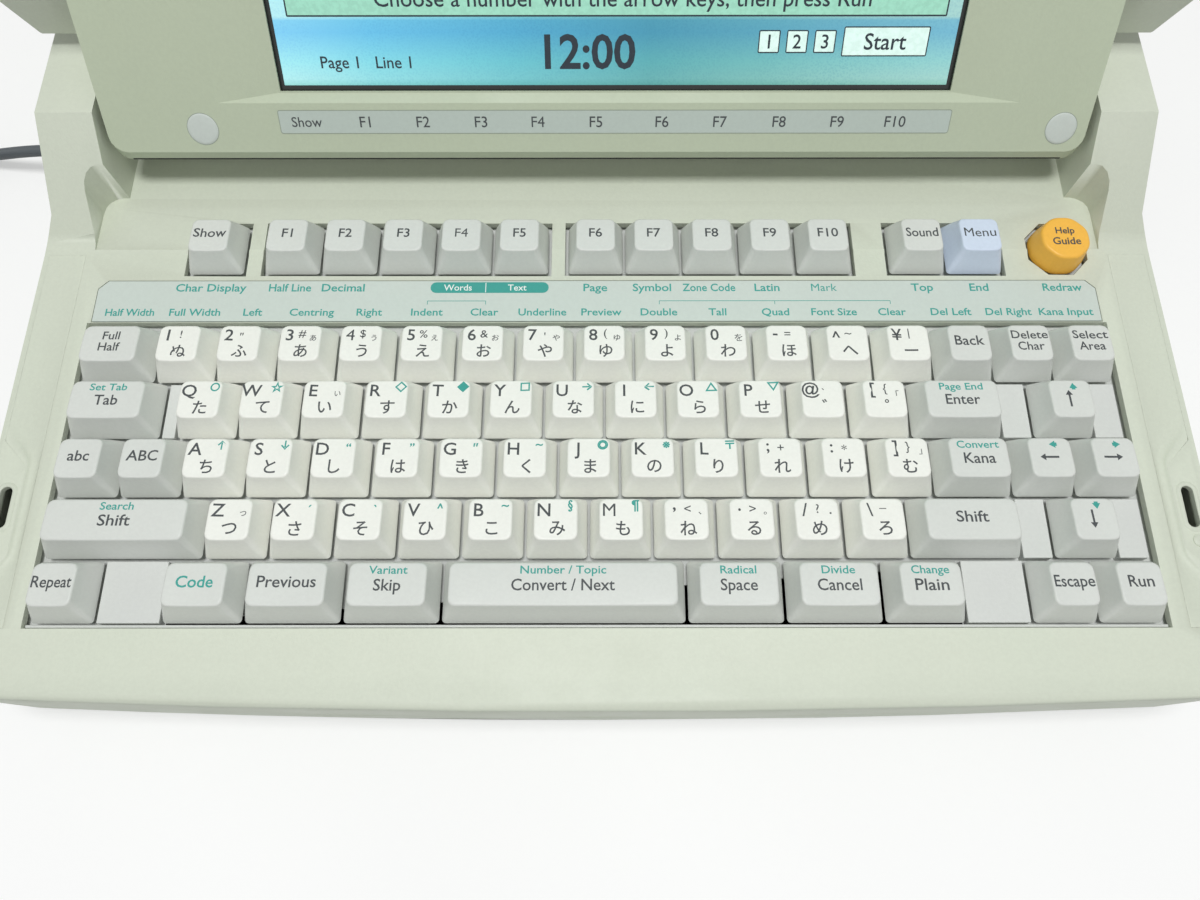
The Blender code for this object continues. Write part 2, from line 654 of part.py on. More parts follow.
def build_upper_case(materials):
    """Top shell: palm strip, deck, side strips, shoulders and the printer housing."""
    bottom = PARTING_Z + GAP
    body = loft(
        [
            [(x, y, bottom) for x, y in case_outline()],
            [(x, y, DECK_Z - EDGE_ROUNDING) for x, y in case_outline()],
            [(x, y, DECK_Z - EDGE_ROUNDING / 3) for x, y in case_outline(0.0, EDGE_ROUNDING / 3)],
            [(x, y, DECK_Z) for x, y in case_outline(0.0, EDGE_ROUNDING)],
            [(x, y, TOP_Z + OVERRUN) for x, y in case_outline(0.0, EDGE_ROUNDING)],
        ]
    )
    waist_z = DECK_Z + SHOULDER_WAIST_RISE
    section = prism_y(
        mirrored([
            (HALF_WIDTH + OVERRUN, bottom - OVERRUN),
            (HALF_WIDTH + OVERRUN, DECK_Z - EDGE_ROUNDING),
            (HALF_WIDTH, DECK_Z - EDGE_ROUNDING / 3),
            (HALF_WIDTH - SHOULDER_WAIST, waist_z),
            (HALF_WIDTH - SHOULDER_TAPER, TOP_Z + OVERRUN),
        ]),
        FRONT_Y - OVERRUN, REAR_Y + OVERRUN,
    )
    foot_y = CREST_Y - (TOP_Z - DECK_Z) / math.tan(SHOULDER_SLOPE)
    fillet = SHOULDER_FOOT_FILLET
    profile = prism_x(
        [
            (FRONT_Y - OVERRUN, bottom - OVERRUN),
            (REAR_Y + OVERRUN, bottom - OVERRUN),
            (REAR_Y + OVERRUN, TOP_Z - REAR_EDGE_CHAMFER - OVERRUN),
            (REAR_Y - REAR_EDGE_CHAMFER, TOP_Z),
            (CREST_Y, TOP_Z),
            (foot_y + fillet * math.cos(SHOULDER_SLOPE), DECK_Z + fillet * math.sin(SHOULDER_SLOPE)),
            (foot_y, DECK_Z + fillet * math.sin(SHOULDER_SLOPE) / 3),
            (foot_y - fillet, DECK_Z),
            (FRONT_Y - OVERRUN, DECK_Z),
        ],
        -HALF_WIDTH - 2 * OVERRUN, HALF_WIDTH + 2 * OVERRUN,
    )
    keep_inside(body, section, profile)
    cut(body, trough_form(), well_form(), *function_holes(), label_seat(), *channel_forms())
    cut(body, *latch_slots(), low_cavity(bottom), housing_cavity())
    join(body, printer_rim())
    cut(body, *side_windows(), printer_opening(), paper_slot(), *hinge_bores())
    return finish(body, "upper_case", materials["case_plastic"])


def trough_form():
    """The space between the shoulders, wide in front and narrowing behind a round corner."""
    foot_y = CREST_Y - (TOP_Z - DECK_Z) / math.tan(SHOULDER_SLOPE)
    front = foot_y - SHOULDER_FOOT_FILLET / 2
    wide, narrow, radius = SHOULDER_FRONT_X, CHEEK_X, CHEEK_FILLET
    corner = arc(wide - radius, CHEEK_Y - radius, radius, 0.0, math.pi / 2, CORNER_STEPS)
    right = [(wide, front)] + corner + [(narrow, CHEEK_Y), (narrow, HOUSING_Y)]
    outline = right + [(-x, y) for x, y in reversed(right)]
    return prism_z(outline, DECK_Z, TOP_Z + OVERRUN)


def well_form():
    return block(
        -WELL_HALF_WIDTH, WELL_HALF_WIDTH, WELL_FRONT_Y, WELL_REAR_Y, CEILING_Z - OVERRUN, DECK_Z + OVERRUN
    )


def function_holes():
    margin = GAP + KEY_GAP / 2
    forms = []
    for left_share, count in FUNCTION_HOLES_SHARES:
        forms.append(block(
            left_share * KEY_PITCH - margin, (left_share + count) * KEY_PITCH + margin,
            FUNCTION_ROW_Y - margin, FUNCTION_ROW_Y + KEY_PITCH + margin,
            CEILING_Z - OVERRUN, DECK_Z + OVERRUN,
        ))
    x, y = guide_key_centre()
    outline = circle_points(x, y, GUIDE_KEY_RADIUS + KEY_GAP, 8, math.pi / 8)
    forms.append(prism_z(outline, CEILING_Z - OVERRUN, DECK_Z + OVERRUN))
    return forms


def label_outline(extra):
    half = WELL_HALF_WIDTH - LABEL_SIDE_MARGIN + extra
    front = WELL_REAR_Y + LABEL_SETBACK - extra
    rear = WELL_REAR_Y + LABEL_SETBACK + LABEL_DEPTH + extra
    return [
        (-half, front), (half, front), (half, rear - LABEL_CORNER), (half - LABEL_CORNER, rear),
        (-half + LABEL_CORNER, rear), (-half, rear - LABEL_CORNER),
    ]


def label_seat():
    floor = DECK_Z + LABEL_PROUD - LABEL_THICKNESS - GAP
    return prism_z(label_outline(GAP), floor, DECK_Z + OVERRUN)


def channel_forms():
    """Shallow channels along both side strips, narrow beside the latch bosses."""
    foot_y = CREST_Y - (TOP_Z - DECK_Z) / math.tan(SHOULDER_SLOPE)
    rear = foot_y - SHOULDER_FOOT_FILLET
    front = LATCH_Y - CHANNEL_LEAD
    boss_front = LATCH_Y - BOSS_LENGTH / 2
    boss_rear = LATCH_Y + BOSS_LENGTH / 2
    blend = CHANNEL_WIDTH - CHANNEL_BESIDE_BOSS
    inner, outer = CHANNEL_INNER_X, CHANNEL_OUTER_X
    narrow = inner + CHANNEL_BESIDE_BOSS
    right = [
        (inner, front), (outer, front), (outer, boss_front - blend), (narrow, boss_front),
        (narrow, boss_rear), (outer, boss_rear + blend), (outer, rear), (inner, rear),
    ]
    left = [(-x, y) for x, y in right]
    floor = DECK_Z - CHANNEL_DEPTH
    return [prism_z(outline, floor, DECK_Z + OVERRUN) for outline in (right, left)]


def latch_slots():
    half_width = LATCH_SLOT_WIDTH / 2
    half_length = LATCH_SLOT_LENGTH / 2
    return [
        block(
            side * LATCH_X - half_width, side * LATCH_X + half_width,
            LATCH_Y - half_length, LATCH_Y + half_length, CEILING_Z - OVERRUN, DECK_Z + OVERRUN,
        )
        for side in (-1, 1)
    ]


def low_cavity(bottom):
    outline = case_outline(WALL)
    return prism_z(outline, bottom - OVERRUN, CEILING_Z)


def housing_cavity():
    """The hollow of the printer housing above the level of the deck."""
    half = HALF_WIDTH - SHOULDER_TAPER - WALL
    return block(
        -half, half, HOUSING_Y + WALL, REAR_Y - REAR_EDGE_CHAMFER, CEILING_Z - OVERRUN, TOP_Z - WALL
    )


def side_windows():
    """Openings in the side walls for the disk drive, the contrast wheel and the power switch."""
    inside = HALF_WIDTH - WALL - OVERRUN
    outside = HALF_WIDTH + OVERRUN
    drive = block(
        inside, outside, DRIVE_Y0 - GAP, DRIVE_Y1 + GAP, DRIVE_Z0 - GAP, DRIVE_Z1 + GAP
    )
    wheel_y = FRONT_Y + WHEEL_SETBACK
    wheel_z = PARTING_Z + WHEEL_RISE
    wheel = block(
        inside, outside, wheel_y - WHEEL_WINDOW / 2, wheel_y + WHEEL_WINDOW / 2,
        wheel_z - GAP, wheel_z + WHEEL_THICKNESS + GAP,
    )
    switch_y = REAR_Y - SWITCH_FROM_REAR
    switch_z = PARTING_Z + SWITCH_RISE
    switch = block(
        -outside, -inside, switch_y - SWITCH_LENGTH / 2 - SWITCH_CLEARANCE,
        switch_y + SWITCH_LENGTH / 2 + SWITCH_CLEARANCE,
        switch_z - GAP, switch_z + SWITCH_HEIGHT + GAP,
    )
    return [drive, wheel, switch]


def printer_rim():
    """The rim under the top wall that carries the edge of the printer cover."""
    half = COVER_WIDTH / 2 + WALL
    rear = REAR_Y - COVER_FROM_REAR + WALL
    front = rear - COVER_DEPTH - 2 * WALL
    top = TOP_Z - WALL / 2
    return block(-half, half, front, rear, TOP_Z - WALL - COVER_RIM_DEPTH, top)


def printer_opening():
    """The opening under the printer cover, with a step on which the cover rests."""
    half = COVER_WIDTH / 2
    rear = REAR_Y - COVER_FROM_REAR
    front = rear - COVER_DEPTH
    seat = block(
        -half - GAP, half + GAP, front - GAP, rear + GAP, TOP_Z - COVER_THICKNESS - GAP, TOP_Z + OVERRUN
    )
    through = block(
        -half + COVER_SEAT, half - COVER_SEAT, front + COVER_SEAT, rear - COVER_SEAT,
        TOP_Z - WALL - COVER_RIM_DEPTH - OVERRUN, TOP_Z,
    )
    return join(seat, through)


def paper_slot():
    y = REAR_Y - PAPER_SLOT_FROM_REAR
    half = PAPER_SLOT_WIDTH / 2
    reach = PAPER_SLOT_LENGTH / 2
    return block(-reach, reach, y - half, y + half, TOP_Z - WALL - OVERRUN, TOP_Z + OVERRUN)


def hinge_bores():
    depth = CHEEK_X + HINGE_PIN_BITE + GAP
    return [
        rod_x(HINGE_Y, HINGE_Z, HINGE_PIN_RADIUS + GAP, side * (CHEEK_X - OVERRUN), side * depth)
        for side in (-1, 1)
    ]


def build_lower_case(materials):
    """Floor tray with the posts of the boards and drive and the side walls of the printer."""
    chamfer = LOWER_CASE_CHAMFER
    body = loft([
        [(x, y, FOOT_HEIGHT) for x, y in case_outline(chamfer)],
        [(x, y, FOOT_HEIGHT + chamfer) for x, y in case_outline()],
        [(x, y, PARTING_Z) for x, y in case_outline()],
    ])
    hollow = loft([
        [(x, y, FLOOR_Z) for x, y in case_outline(chamfer + WALL)],
        [(x, y, FLOOR_Z + chamfer) for x, y in case_outline(WALL)],
        [(x, y, PARTING_Z + OVERRUN) for x, y in case_outline(WALL)],
    ])
    cut(body, hollow)
    sink = FLOOR_Z - WALL / 2
    for x, y in board_corners():
        join(body, rod_z(x, y, STANDOFF_RADIUS, sink, FLOOR_Z + BOARD_RISE, 8))
    for x, y in drive_corners():
        join(body, rod_z(x, y, STANDOFF_RADIUS, sink, DRIVE_Z0 - GAP, 8))
    join(body, *[printer_wall(side) for side in (-1, 1)])
    join(body, *frame_posts(sink))
    outside, inside = -HALF_WIDTH - OVERRUN, -HALF_WIDTH + WALL + OVERRUN
    cut(body, rod_x(CORD_EXIT_Y, CORD_EXIT_Z, GLAND_TIP_RADIUS + GAP, outside, inside))
    return finish(body, "lower_case", materials["case_plastic"])


def board_place():
    x0 = -HALF_WIDTH + BOARD_LEFT_SETBACK
    y0 = FRONT_Y + BOARD_SETBACK
    return x0, x0 + BOARD_WIDTH, y0, y0 + BOARD_DEPTH


def board_corners():
    x0, x1, y0, y1 = board_place()
    inset = 2 * STANDOFF_RADIUS
    return [(x, y) for x in (x0 + inset, x1 - inset) for y in (y0 + inset, y1 - inset)]


def drive_corners():
    inset = 2 * STANDOFF_RADIUS
    return [
        (x, y)
        for x in (DRIVE_X0 + inset, DRIVE_X1 - inset - WALL)
        for y in (DRIVE_Y0 + inset, DRIVE_Y1 - inset)
    ]


def frame_post_places():
    """Four posts that carry the key frame, clear of the board and of every stem."""
    x = WELL_HALF_WIDTH + FRAME_FLANGE / 2
    return [
        (side * x, y)
        for side in (-1, 1)
        for y in (WELL_FRONT_Y + KEY_PITCH, WELL_REAR_Y)
    ]


def frame_posts(sink):
    half = FRAME_FLANGE / 2
    return [
        block(x - half, x + half, y - half, y + half, sink, FRAME_BOTTOM_Z - GAP)
        for x, y in frame_post_places()
    ]


def printer_wall(side):
    """One printer side wall, with the bores of the platen shaft and the carriage rod."""
    x0 = side * PRINTER_WALL_X
    x1 = side * (PRINTER_WALL_X + PRINTER_WALL)
    half = PRINTER_WALL_DEPTH / 2
    middle = (PLATEN_Y + ROD_Y) / 2
    top = PLATEN_Z + 2 * PLATEN_SHAFT_RADIUS
    wall = block(min(x0, x1), max(x0, x1), middle - half, middle + half, FLOOR_Z - WALL / 2, top)
    first, last = min(x0, x1) - OVERRUN, max(x0, x1) + OVERRUN
    return cut(
        wall,
        rod_x(PLATEN_Y, PLATEN_Z, PLATEN_SHAFT_RADIUS + GAP, first, last),
        rod_x(ROD_Y, ROD_Z, ROD_RADIUS + GAP, first, last, 12),
    )


def build_feet(materials):
    """Four rubber feet under the floor tray."""
    names = ("foot_front_left", "foot_front_right", "foot_rear_left", "foot_rear_right")
    places = [(x, y) for y in (-1, 1) for x in (-1, 1)]
    for name, (sx, sy) in zip(names, places):
        x = sx * (HALF_WIDTH - FOOT_INSET)
        y = sy * (DEPTH / 2 - FOOT_INSET)
        foot = rod_z(x, y, FOOT_RADIUS, 0.0, FOOT_HEIGHT - GAP, 20)
        finish(foot, name, materials["foot_rubber"])


def build_key_frame(centres, materials):
    """Plate that guides every key stem, with the blank fillers and the front lip in the well."""
    _, fillers = key_places()
    margin = FRAME_FLANGE
    rear = FUNCTION_ROW_Y + KEY_PITCH + margin
    body = block(
        -WELL_HALF_WIDTH - margin, WELL_HALF_WIDTH + margin, WELL_FRONT_Y - margin, rear,
        FRAME_BOTTOM_Z, FRAME_TOP_Z,
    )
    edge = KEY_GAP / 2
    sink = FRAME_TOP_Z - FRAME_THICKNESS / 2
    forms = [
        block(x + edge, x + width - edge, y + edge, y + KEY_PITCH - edge, sink, DECK_Z - FILLER_DROP)
        for x, y, width in fillers
    ]
    lip = block(
        -WELL_HALF_WIDTH + GAP, WELL_HALF_WIDTH - GAP, WELL_FRONT_Y + GAP, WELL_FRONT_Y + GAP + FRAME_LIP,
        sink, DECK_Z - FRAME_LIP_DROP,
    )
    rail = block(
        -WELL_HALF_WIDTH - margin, WELL_HALF_WIDTH + margin, WELL_FRONT_Y - margin, WELL_FRONT_Y - GAP,
        sink, CEILING_Z - GAP,
    )
    skirts = [
        block(
            -WELL_HALF_WIDTH + margin, WELL_HALF_WIDTH - margin, y, y + margin, MEMBRANE_TOP_Z + GAP, sink
        )
        for y in (WELL_FRONT_Y - margin, rear - margin)
    ]
    join(body, *forms, lip, rail, *skirts)
    half = KEY_STEM_SIDE / 2 + STEM_CLEARANCE
    bm = bmesh.new()
    for x, y in centres:
        bmesh.ops.create_cube(
            bm,
            size=1.0,
            matrix=Matrix.LocRotScale(
                Vector((x, y, (FRAME_TOP_Z + FRAME_BOTTOM_Z) / 2)),
                None,
                Vector((2 * half, 2 * half, FRAME_THICKNESS + 2 * OVERRUN)),
            ),
        )
    cut(body, make_object("stem_holes", bm, None))
    finish(body, "key_frame", materials["frame_plastic"])


def build_membrane(materials):
    """Rubber sheet with the key contacts, under the ends of the stems."""
    body = block(
        -WELL_HALF_WIDTH + FRAME_FLANGE, WELL_HALF_WIDTH - FRAME_FLANGE, WELL_FRONT_Y - FRAME_FLANGE,
        FUNCTION_ROW_Y + KEY_PITCH + FRAME_FLANGE, MEMBRANE_TOP_Z - MEMBRANE_THICKNESS, MEMBRANE_TOP_Z,
    )
    finish(body, "key_membrane", materials["membrane_rubber"])


def build_label_plate(materials):
    top = DECK_Z + LABEL_PROUD
    body = prism_z(label_outline(0.0), top - LABEL_THICKNESS, top)
    finish(body, "label_plate", materials["label_film"])


# Parts inside the case

def build_main_board(materials):
    x0, x1, y0, y1 = board_place()
    z0 = FLOOR_Z + BOARD_RISE + GAP
    z1 = z0 + BOARD_THICKNESS
    body = block(x0, x1, y0, y1, z0, z1)
    for i in range(3):
        for j in range(2):
            cx = x0 + (x1 - x0) * (i + 1) / 4
            cy = y0 + (y1 - y0) * (j + 1) / 3
            half = CHIP_SIDE / 2
            foot = z1 - BOARD_THICKNESS / 2
            join(body, block(cx - half, cx + half, cy - half, cy + half, foot, z1 + CHIP_HEIGHT))
    finish(body, "main_board", materials["board_resin"])


def build_power_supply(materials):
    y1 = REAR_Y - SUPPLY_REAR_SETBACK
    body = block(
        SUPPLY_X0, SUPPLY_X1, y1 - SUPPLY_DEPTH, y1, FLOOR_Z + GAP, FLOOR_Z + GAP + SUPPLY_HEIGHT
    )
    finish(body, "power_supply", materials["plated_steel"])


def build_disk_drive(materials):
    """Drive body with its disk slot, open at the right side, and the seat of the eject button."""
    body = block(DRIVE_X0, DRIVE_X1, DRIVE_Y0, DRIVE_Y1, DRIVE_Z0, DRIVE_Z1)
    middle = (DRIVE_Y0 + DRIVE_Y1) / 2
    slot_z = DRIVE_Z0 + DISK_SLOT_RISE
    slot = block(
        DRIVE_X1 - DISK_SLOT_DEPTH, DRIVE_X1 + OVERRUN, middle - DISK_SLOT_WIDTH / 2,
        middle + DISK_SLOT_WIDTH / 2, slot_z, slot_z + DISK_SLOT_HEIGHT,
    )
    button_y = middle + EJECT_SIDE
    half = EJECT_WIDTH / 2
    z0 = DRIVE_Z0 + EJECT_RISE
    seat = block(
        DRIVE_X1 - EJECT_DEPTH - EJECT_TRAVEL - GAP, DRIVE_X1 + OVERRUN,
        button_y - half - GAP, button_y + half + GAP, z0 - GAP, z0 + EJECT_HEIGHT + GAP,
    )
    cut(body, slot, seat)
    finish(body, "disk_drive", materials["dark_plastic"])
    button = block(
        DRIVE_X1 - EJECT_DEPTH, DRIVE_X1 + FRONT_RECESS,
        button_y - half, button_y + half, z0, z0 + EJECT_HEIGHT,
    )
    finish(button, "eject_button", materials["dark_plastic"])


def build_printer(materials):
    """Platen, carriage rod, print head and the hinged cover over them."""
    shaft_end = PRINTER_WALL_X + PRINTER_WALL + OVERRUN
    roller = rod_x(PLATEN_Y, PLATEN_Z, PLATEN_RADIUS, -PLATEN_LENGTH / 2, PLATEN_LENGTH / 2, 24)
    join(roller, rod_x(PLATEN_Y, PLATEN_Z, PLATEN_SHAFT_RADIUS, -shaft_end, shaft_end))
    finish(roller, "platen_roller", materials["platen_rubber"])
    rod = rod_x(ROD_Y, ROD_Z, ROD_RADIUS, -shaft_end, shaft_end, 12)
    finish(rod, "carriage_rod", materials["plated_steel"])
    head = block(
        -HEAD_WIDTH / 2, HEAD_WIDTH / 2, ROD_Y - HEAD_DEPTH / 2, ROD_Y + HEAD_DEPTH / 2,
        ROD_Z - HEAD_DEPTH / 2, ROD_Z - HEAD_DEPTH / 2 + HEAD_HEIGHT,
    )
    cut(head, rod_x(ROD_Y, ROD_Z, ROD_RADIUS + GAP, -HEAD_WIDTH, HEAD_WIDTH, 12))
    finish(head, "print_head", materials["dark_plastic"])
    half = COVER_WIDTH / 2
    rear = REAR_Y - COVER_FROM_REAR
    cover = block(-half, half, rear - COVER_DEPTH, rear, TOP_Z - COVER_THICKNESS, TOP_Z)
    finish(cover, "printer_cover", materials["case_plastic"])


def build_side_controls(materials):
    """Power switch in the left wall and contrast wheel in the right wall."""
    switch_y = REAR_Y - SWITCH_FROM_REAR
    switch_z = PARTING_Z + SWITCH_RISE
    half = SWITCH_LENGTH / 2
    outline = [(0.0, -half), (SWITCH_DEPTH, -half), (SWITCH_DEPTH, half), (0.0, half), (FRONT_RECESS, 0.0)]
    rocker = prism_z(outline, 0.0, SWITCH_HEIGHT)
    rocker.location = (-HALF_WIDTH + SWITCH_RECESS, switch_y, switch_z)
    rocker.rotation_euler = (0.0, 0.0, SWITCH_ROCK)
    finish(rocker, "power_switch", materials["dark_plastic"])
    wheel_y = FRONT_Y + WHEEL_SETBACK
    wheel_z = PARTING_Z + WHEEL_RISE
    x = HALF_WIDTH - WHEEL_INSET - WHEEL_RADIUS
    wheel = rod_z(x, wheel_y, WHEEL_RADIUS, wheel_z, wheel_z + WHEEL_THICKNESS, 24)
    finish(wheel, "contrast_wheel", materials["dark_plastic"])


# Lid, built lying in its own frame: X across, Y away from the hinge, Z towards the reader's side

def lid_section(inset, bottom):
    """Half of the lid's cross-section from its outer face up to its lip."""
    return [
        (HALF_WIDTH - LID_TOP_INSET - inset, bottom),
        (HALF_WIDTH - LID_TOP_INSET + LID_SIDE_TAPER - inset, LID_TAPER_RISE - HINGE_DEPTH),
        (HALF_WIDTH - LID_TOP_INSET + LID_SIDE_TAPER - inset, LID_LIP_RISE + OVERRUN),
    ]


def wing_line():
    """Where the wings start, at the outer face and at the lip: they follow the slope of the shoulders."""
    start = CREST_TO_HINGE + WING_GAP
    run = (LID_LIP_RISE + HINGE_DEPTH) / math.tan(SHOULDER_SLOPE)
    return start, start + run


def lid_profile():
    """Side outline of the wings as (y, z), from the shoulder slope to the far end."""
    start, foot = wing_line()
    rise = OVERRUN / math.tan(SHOULDER_SLOPE)
    return [
        (start, -HINGE_DEPTH), (LID_REACH - LID_TOP_INSET, -HINGE_DEPTH),
        (LID_REACH, LID_TAPER_RISE - HINGE_DEPTH),
        (LID_REACH, LID_LIP_RISE + OVERRUN), (foot + rise, LID_LIP_RISE + OVERRUN),
    ]


def hollow_profile():
    """Side outline of the lid's hollow: low under the wings' wedges, open above the bezel."""
    start, _ = wing_line()
    slope = math.tan(SHOULDER_SLOPE)
    floor = -HINGE_DEPTH + WALL
    ledge = BEZEL_RISE - BEZEL_THICKNESS - GAP - WALL
    near = start + WALL + WALL / slope
    end = LID_REACH - LID_WALL
    return [
        (near, floor), (end - LID_TOP_INSET, floor), (end, LID_TAPER_RISE - HINGE_DEPTH),
        (end, LID_LIP_RISE + OVERRUN), (lid_face_start(), LID_LIP_RISE + OVERRUN), (lid_face_start(), ledge),
        (near + (ledge - floor) / slope, ledge),
    ]


def hollow_inset(z, taper):
    """How far a tapering side of the lid's hollow stands in at height z."""
    top = LID_TAPER_RISE - HINGE_DEPTH
    return taper * max(top - z, 0.0) / (top - WALL + HINGE_DEPTH)


def neck_tail(half, tail=NECK_TAIL):
    """The rounded rear end of the neck, from its right side round to its left side."""
    radius = NECK_CORNER
    end = -tail
    right = arc(half - radius, end + radius, radius, 0.0, -math.pi / 2, CORNER_STEPS)
    left = arc(-half + radius, end + radius, radius, -math.pi / 2, -math.pi, CORNER_STEPS)
    return right + left


def build_lid_cover(materials):
    """Outer shell of the lid with its wings, neck and hinge bosses."""
    far = LID_REACH + OVERRUN
    wings = prism_y(mirrored(lid_section(0.0, -HINGE_DEPTH)), -NECK_TAIL, far)
    limit = HALF_WIDTH + OVERRUN
    keep_inside(wings, prism_x(lid_profile(), -limit, limit))
    lip_top = block(-limit, limit, -far, 2 * far, LID_LIP_RISE, LID_LIP_RISE + 2 * OVERRUN)
    cut(wings, lip_top)
    hollow = prism_y(mirrored(lid_section(LID_WALL, -HINGE_DEPTH + WALL)), -NECK_TAIL, far)
    keep_inside(hollow, prism_x(hollow_profile(), -limit, limit))
    cut(wings, hollow)
    bezel_floor = BEZEL_RISE - BEZEL_THICKNESS - GAP
    start, _ = wing_line()
    neck_end = start + NECK_TAIL
    half = NECK_HALF_WIDTH
    neck = prism_z([(half, neck_end)] + neck_tail(half) + [(-half, neck_end)], -HINGE_DEPTH, bezel_floor)
    join(wings, neck)
    pocket_half = NECK_HALF_WIDTH - HINGE_PIN_BITE - WALL
    pocket = block(
        -pocket_half, pocket_half, -NECK_TAIL + WALL, lid_face_start() + WALL, -HINGE_DEPTH + WALL,
        LID_LIP_RISE + OVERRUN,
    )
    throat = block(
        -NECK_HALF_WIDTH - GAP, NECK_HALF_WIDTH + GAP, -NECK_TAIL - OVERRUN,
        lid_face_start() + GAP, bezel_floor, LID_LIP_RISE + OVERRUN,
    )
    relief = block(
        -NECK_TOP_HALF_WIDTH - GAP, NECK_TOP_HALF_WIDTH + GAP, relief_start() - OVERRUN,
        lid_face_start() + GAP, bezel_floor, LID_LIP_RISE + OVERRUN,
    )
    cut(wings, pocket, throat, relief)
    cut(wings, *[
        rod_x(0.0, 0.0, HINGE_PIN_RADIUS + GAP, side * (NECK_HALF_WIDTH - HINGE_PIN_BITE - GAP),
              side * (NECK_HALF_WIDTH + OVERRUN))
        for side in (-1, 1)
    ])
    finish(wings, "lid_cover", materials["case_plastic"])
    return wings


def lid_face_start():
    """Where the lid's inner face widens from the neck to the wings."""
    return wing_line()[1] + WALL


def relief_start():
    """Where the wings' wedges reach the level of the bezel, above the guide key when the lid is shut."""
    floor = BEZEL_RISE - BEZEL_THICKNESS - GAP
    return wing_line()[0] + (floor + HINGE_DEPTH) / math.tan(SHOULDER_SLOPE)


def build_lid_bezel(materials):
    """Inner face of the lid round the screen, narrow at the neck and wide between the wings."""
    z0 = BEZEL_RISE - BEZEL_THICKNESS
    widest = HALF_WIDTH - LID_TOP_INSET + LID_SIDE_TAPER - LID_WALL
    wide = widest - hollow_inset(z0, LID_SIDE_TAPER) - GAP
    step = lid_face_start() + GAP
    end = LID_REACH - LID_WALL - hollow_inset(z0, LID_TOP_INSET) - GAP
    half = NECK_HALF_WIDTH
    middle = NECK_TOP_HALF_WIDTH
    low = relief_start() + 2 * GAP
    right = [(wide, end), (wide, step), (middle, step), (middle, low), (half, low)]
    rest = [(-x, y) for x, y in reversed(right)] + right
    back = neck_tail(half) + rest
    face = neck_tail(half, NECK_TAIL - NECK_CHAMFER) + rest
    body = loft([[(x, y, z0) for x, y in back], [(x, y, BEZEL_RISE) for x, y in face]])
    x0, x1, y0, y1 = screen_place()
    cut(body, block(x0, x1, y0, y1, z0 - OVERRUN, BEZEL_RISE + OVERRUN))
    half_length = LATCH_SHANK_LENGTH / 2 + LATCH_TRAVEL + 2 * GAP
    half_width = LATCH_THICKNESS / 2 + GAP
    for side in (-1, 1):
        cut(body, block(
            side * LATCH_X - half_width, side * LATCH_X + half_width + OVERRUN, LATCH_REACH - half_length,
            LATCH_REACH + half_length, z0 - OVERRUN, BEZEL_RISE + OVERRUN,
        ))
    finish(body, "lid_bezel", materials["bezel_plastic"])
    return body


def screen_place():
    x0 = SCREEN_OFFSET - SCREEN_WIDTH / 2
    y0 = -NECK_TAIL + SCREEN_ABOVE_NECK_END
    return x0, x0 + SCREEN_WIDTH, y0, y0 + SCREEN_HEIGHT


def build_screen(materials):
    x0, x1, y0, y1 = screen_place()
    border = SCREEN_BORDER
    top = BEZEL_RISE - BEZEL_THICKNESS - GAP
    body = block(x0 - border, x1 + border, y0 - border, y1 + border, top - SCREEN_MODULE_THICKNESS, top)
    finish(body, "lcd_screen", materials["screen_glass"])
    return body


def build_latch(side, name, materials):
    """A latch hook that stands through the bezel and slides along the lid."""
    half = LATCH_SHANK_LENGTH / 2
    x0 = side * LATCH_X - LATCH_THICKNESS / 2
    x1 = side * LATCH_X + LATCH_THICKNESS / 2
    # With the lid shut, the barb lies just under the deck's wall
    barb_z = HINGE_Z - CEILING_Z + 2 * GAP
    end = barb_z + LATCH_BARB_THICKNESS
    pad_top = BEZEL_RISE - BEZEL_THICKNESS - GAP
    root = pad_top - LATCH_PAD_THICKNESS
    body = prism_x(
        [
            (LATCH_REACH - half, root), (LATCH_REACH + half, root), (LATCH_REACH + half, end),
            (LATCH_REACH - half - LATCH_BARB, end), (LATCH_REACH - half - LATCH_BARB, barb_z),
            (LATCH_REACH - half, barb_z),
        ],
        x0, x1,
    )
    inward = -side * LATCH_SLOT_WIDTH
    reach = (min(x0, x0 + inward), max(x1, x1 + inward))
    join(body, block(*reach, LATCH_REACH - 2 * half, LATCH_REACH + 2 * half, root, pad_top))
    finish(body, name, materials["bezel_plastic"])
    return body


def build_hinge_pins(materials):
    for side, name in ((-1, "hinge_pin_left"), (1, "hinge_pin_right")):
        inner = side * (NECK_HALF_WIDTH - HINGE_PIN_BITE + GAP)
        outer = side * (CHEEK_X + HINGE_PIN_BITE)
        pin = rod_x(HINGE_Y, HINGE_Z, HINGE_PIN_RADIUS, min(inner, outer), max(inner, outer), 16)
        finish(pin, name, materials["plated_steel"])


def build_lid(materials):
    """Builds the lid's pieces and turns them up about the hinge, which is their origin."""
    pieces = [
        build_lid_cover(materials),
        build_lid_bezel(materials),
        build_screen(materials),
        build_latch(-1, "latch_hook_left", materials),
        build_latch(1, "latch_hook_right", materials),
    ]
    pivot = bpy.data.objects.new("lid_pivot", None)
    bpy.context.scene.collection.objects.link(pivot)
    pivot.location = (0.0, HINGE_Y, HINGE_Z)
    pivot.rotation_euler = (math.pi - LID_OPEN_ANGLE, 0.0, 0.0)
    for piece in pieces:
        piece.parent = pivot


# Power cord

def eased(share):
    """Rises smoothly from 0 to 1 as the share does."""
    share = min(max(share, 0.0), 1.0)
    return share * share * (3.0 - 2.0 * share)


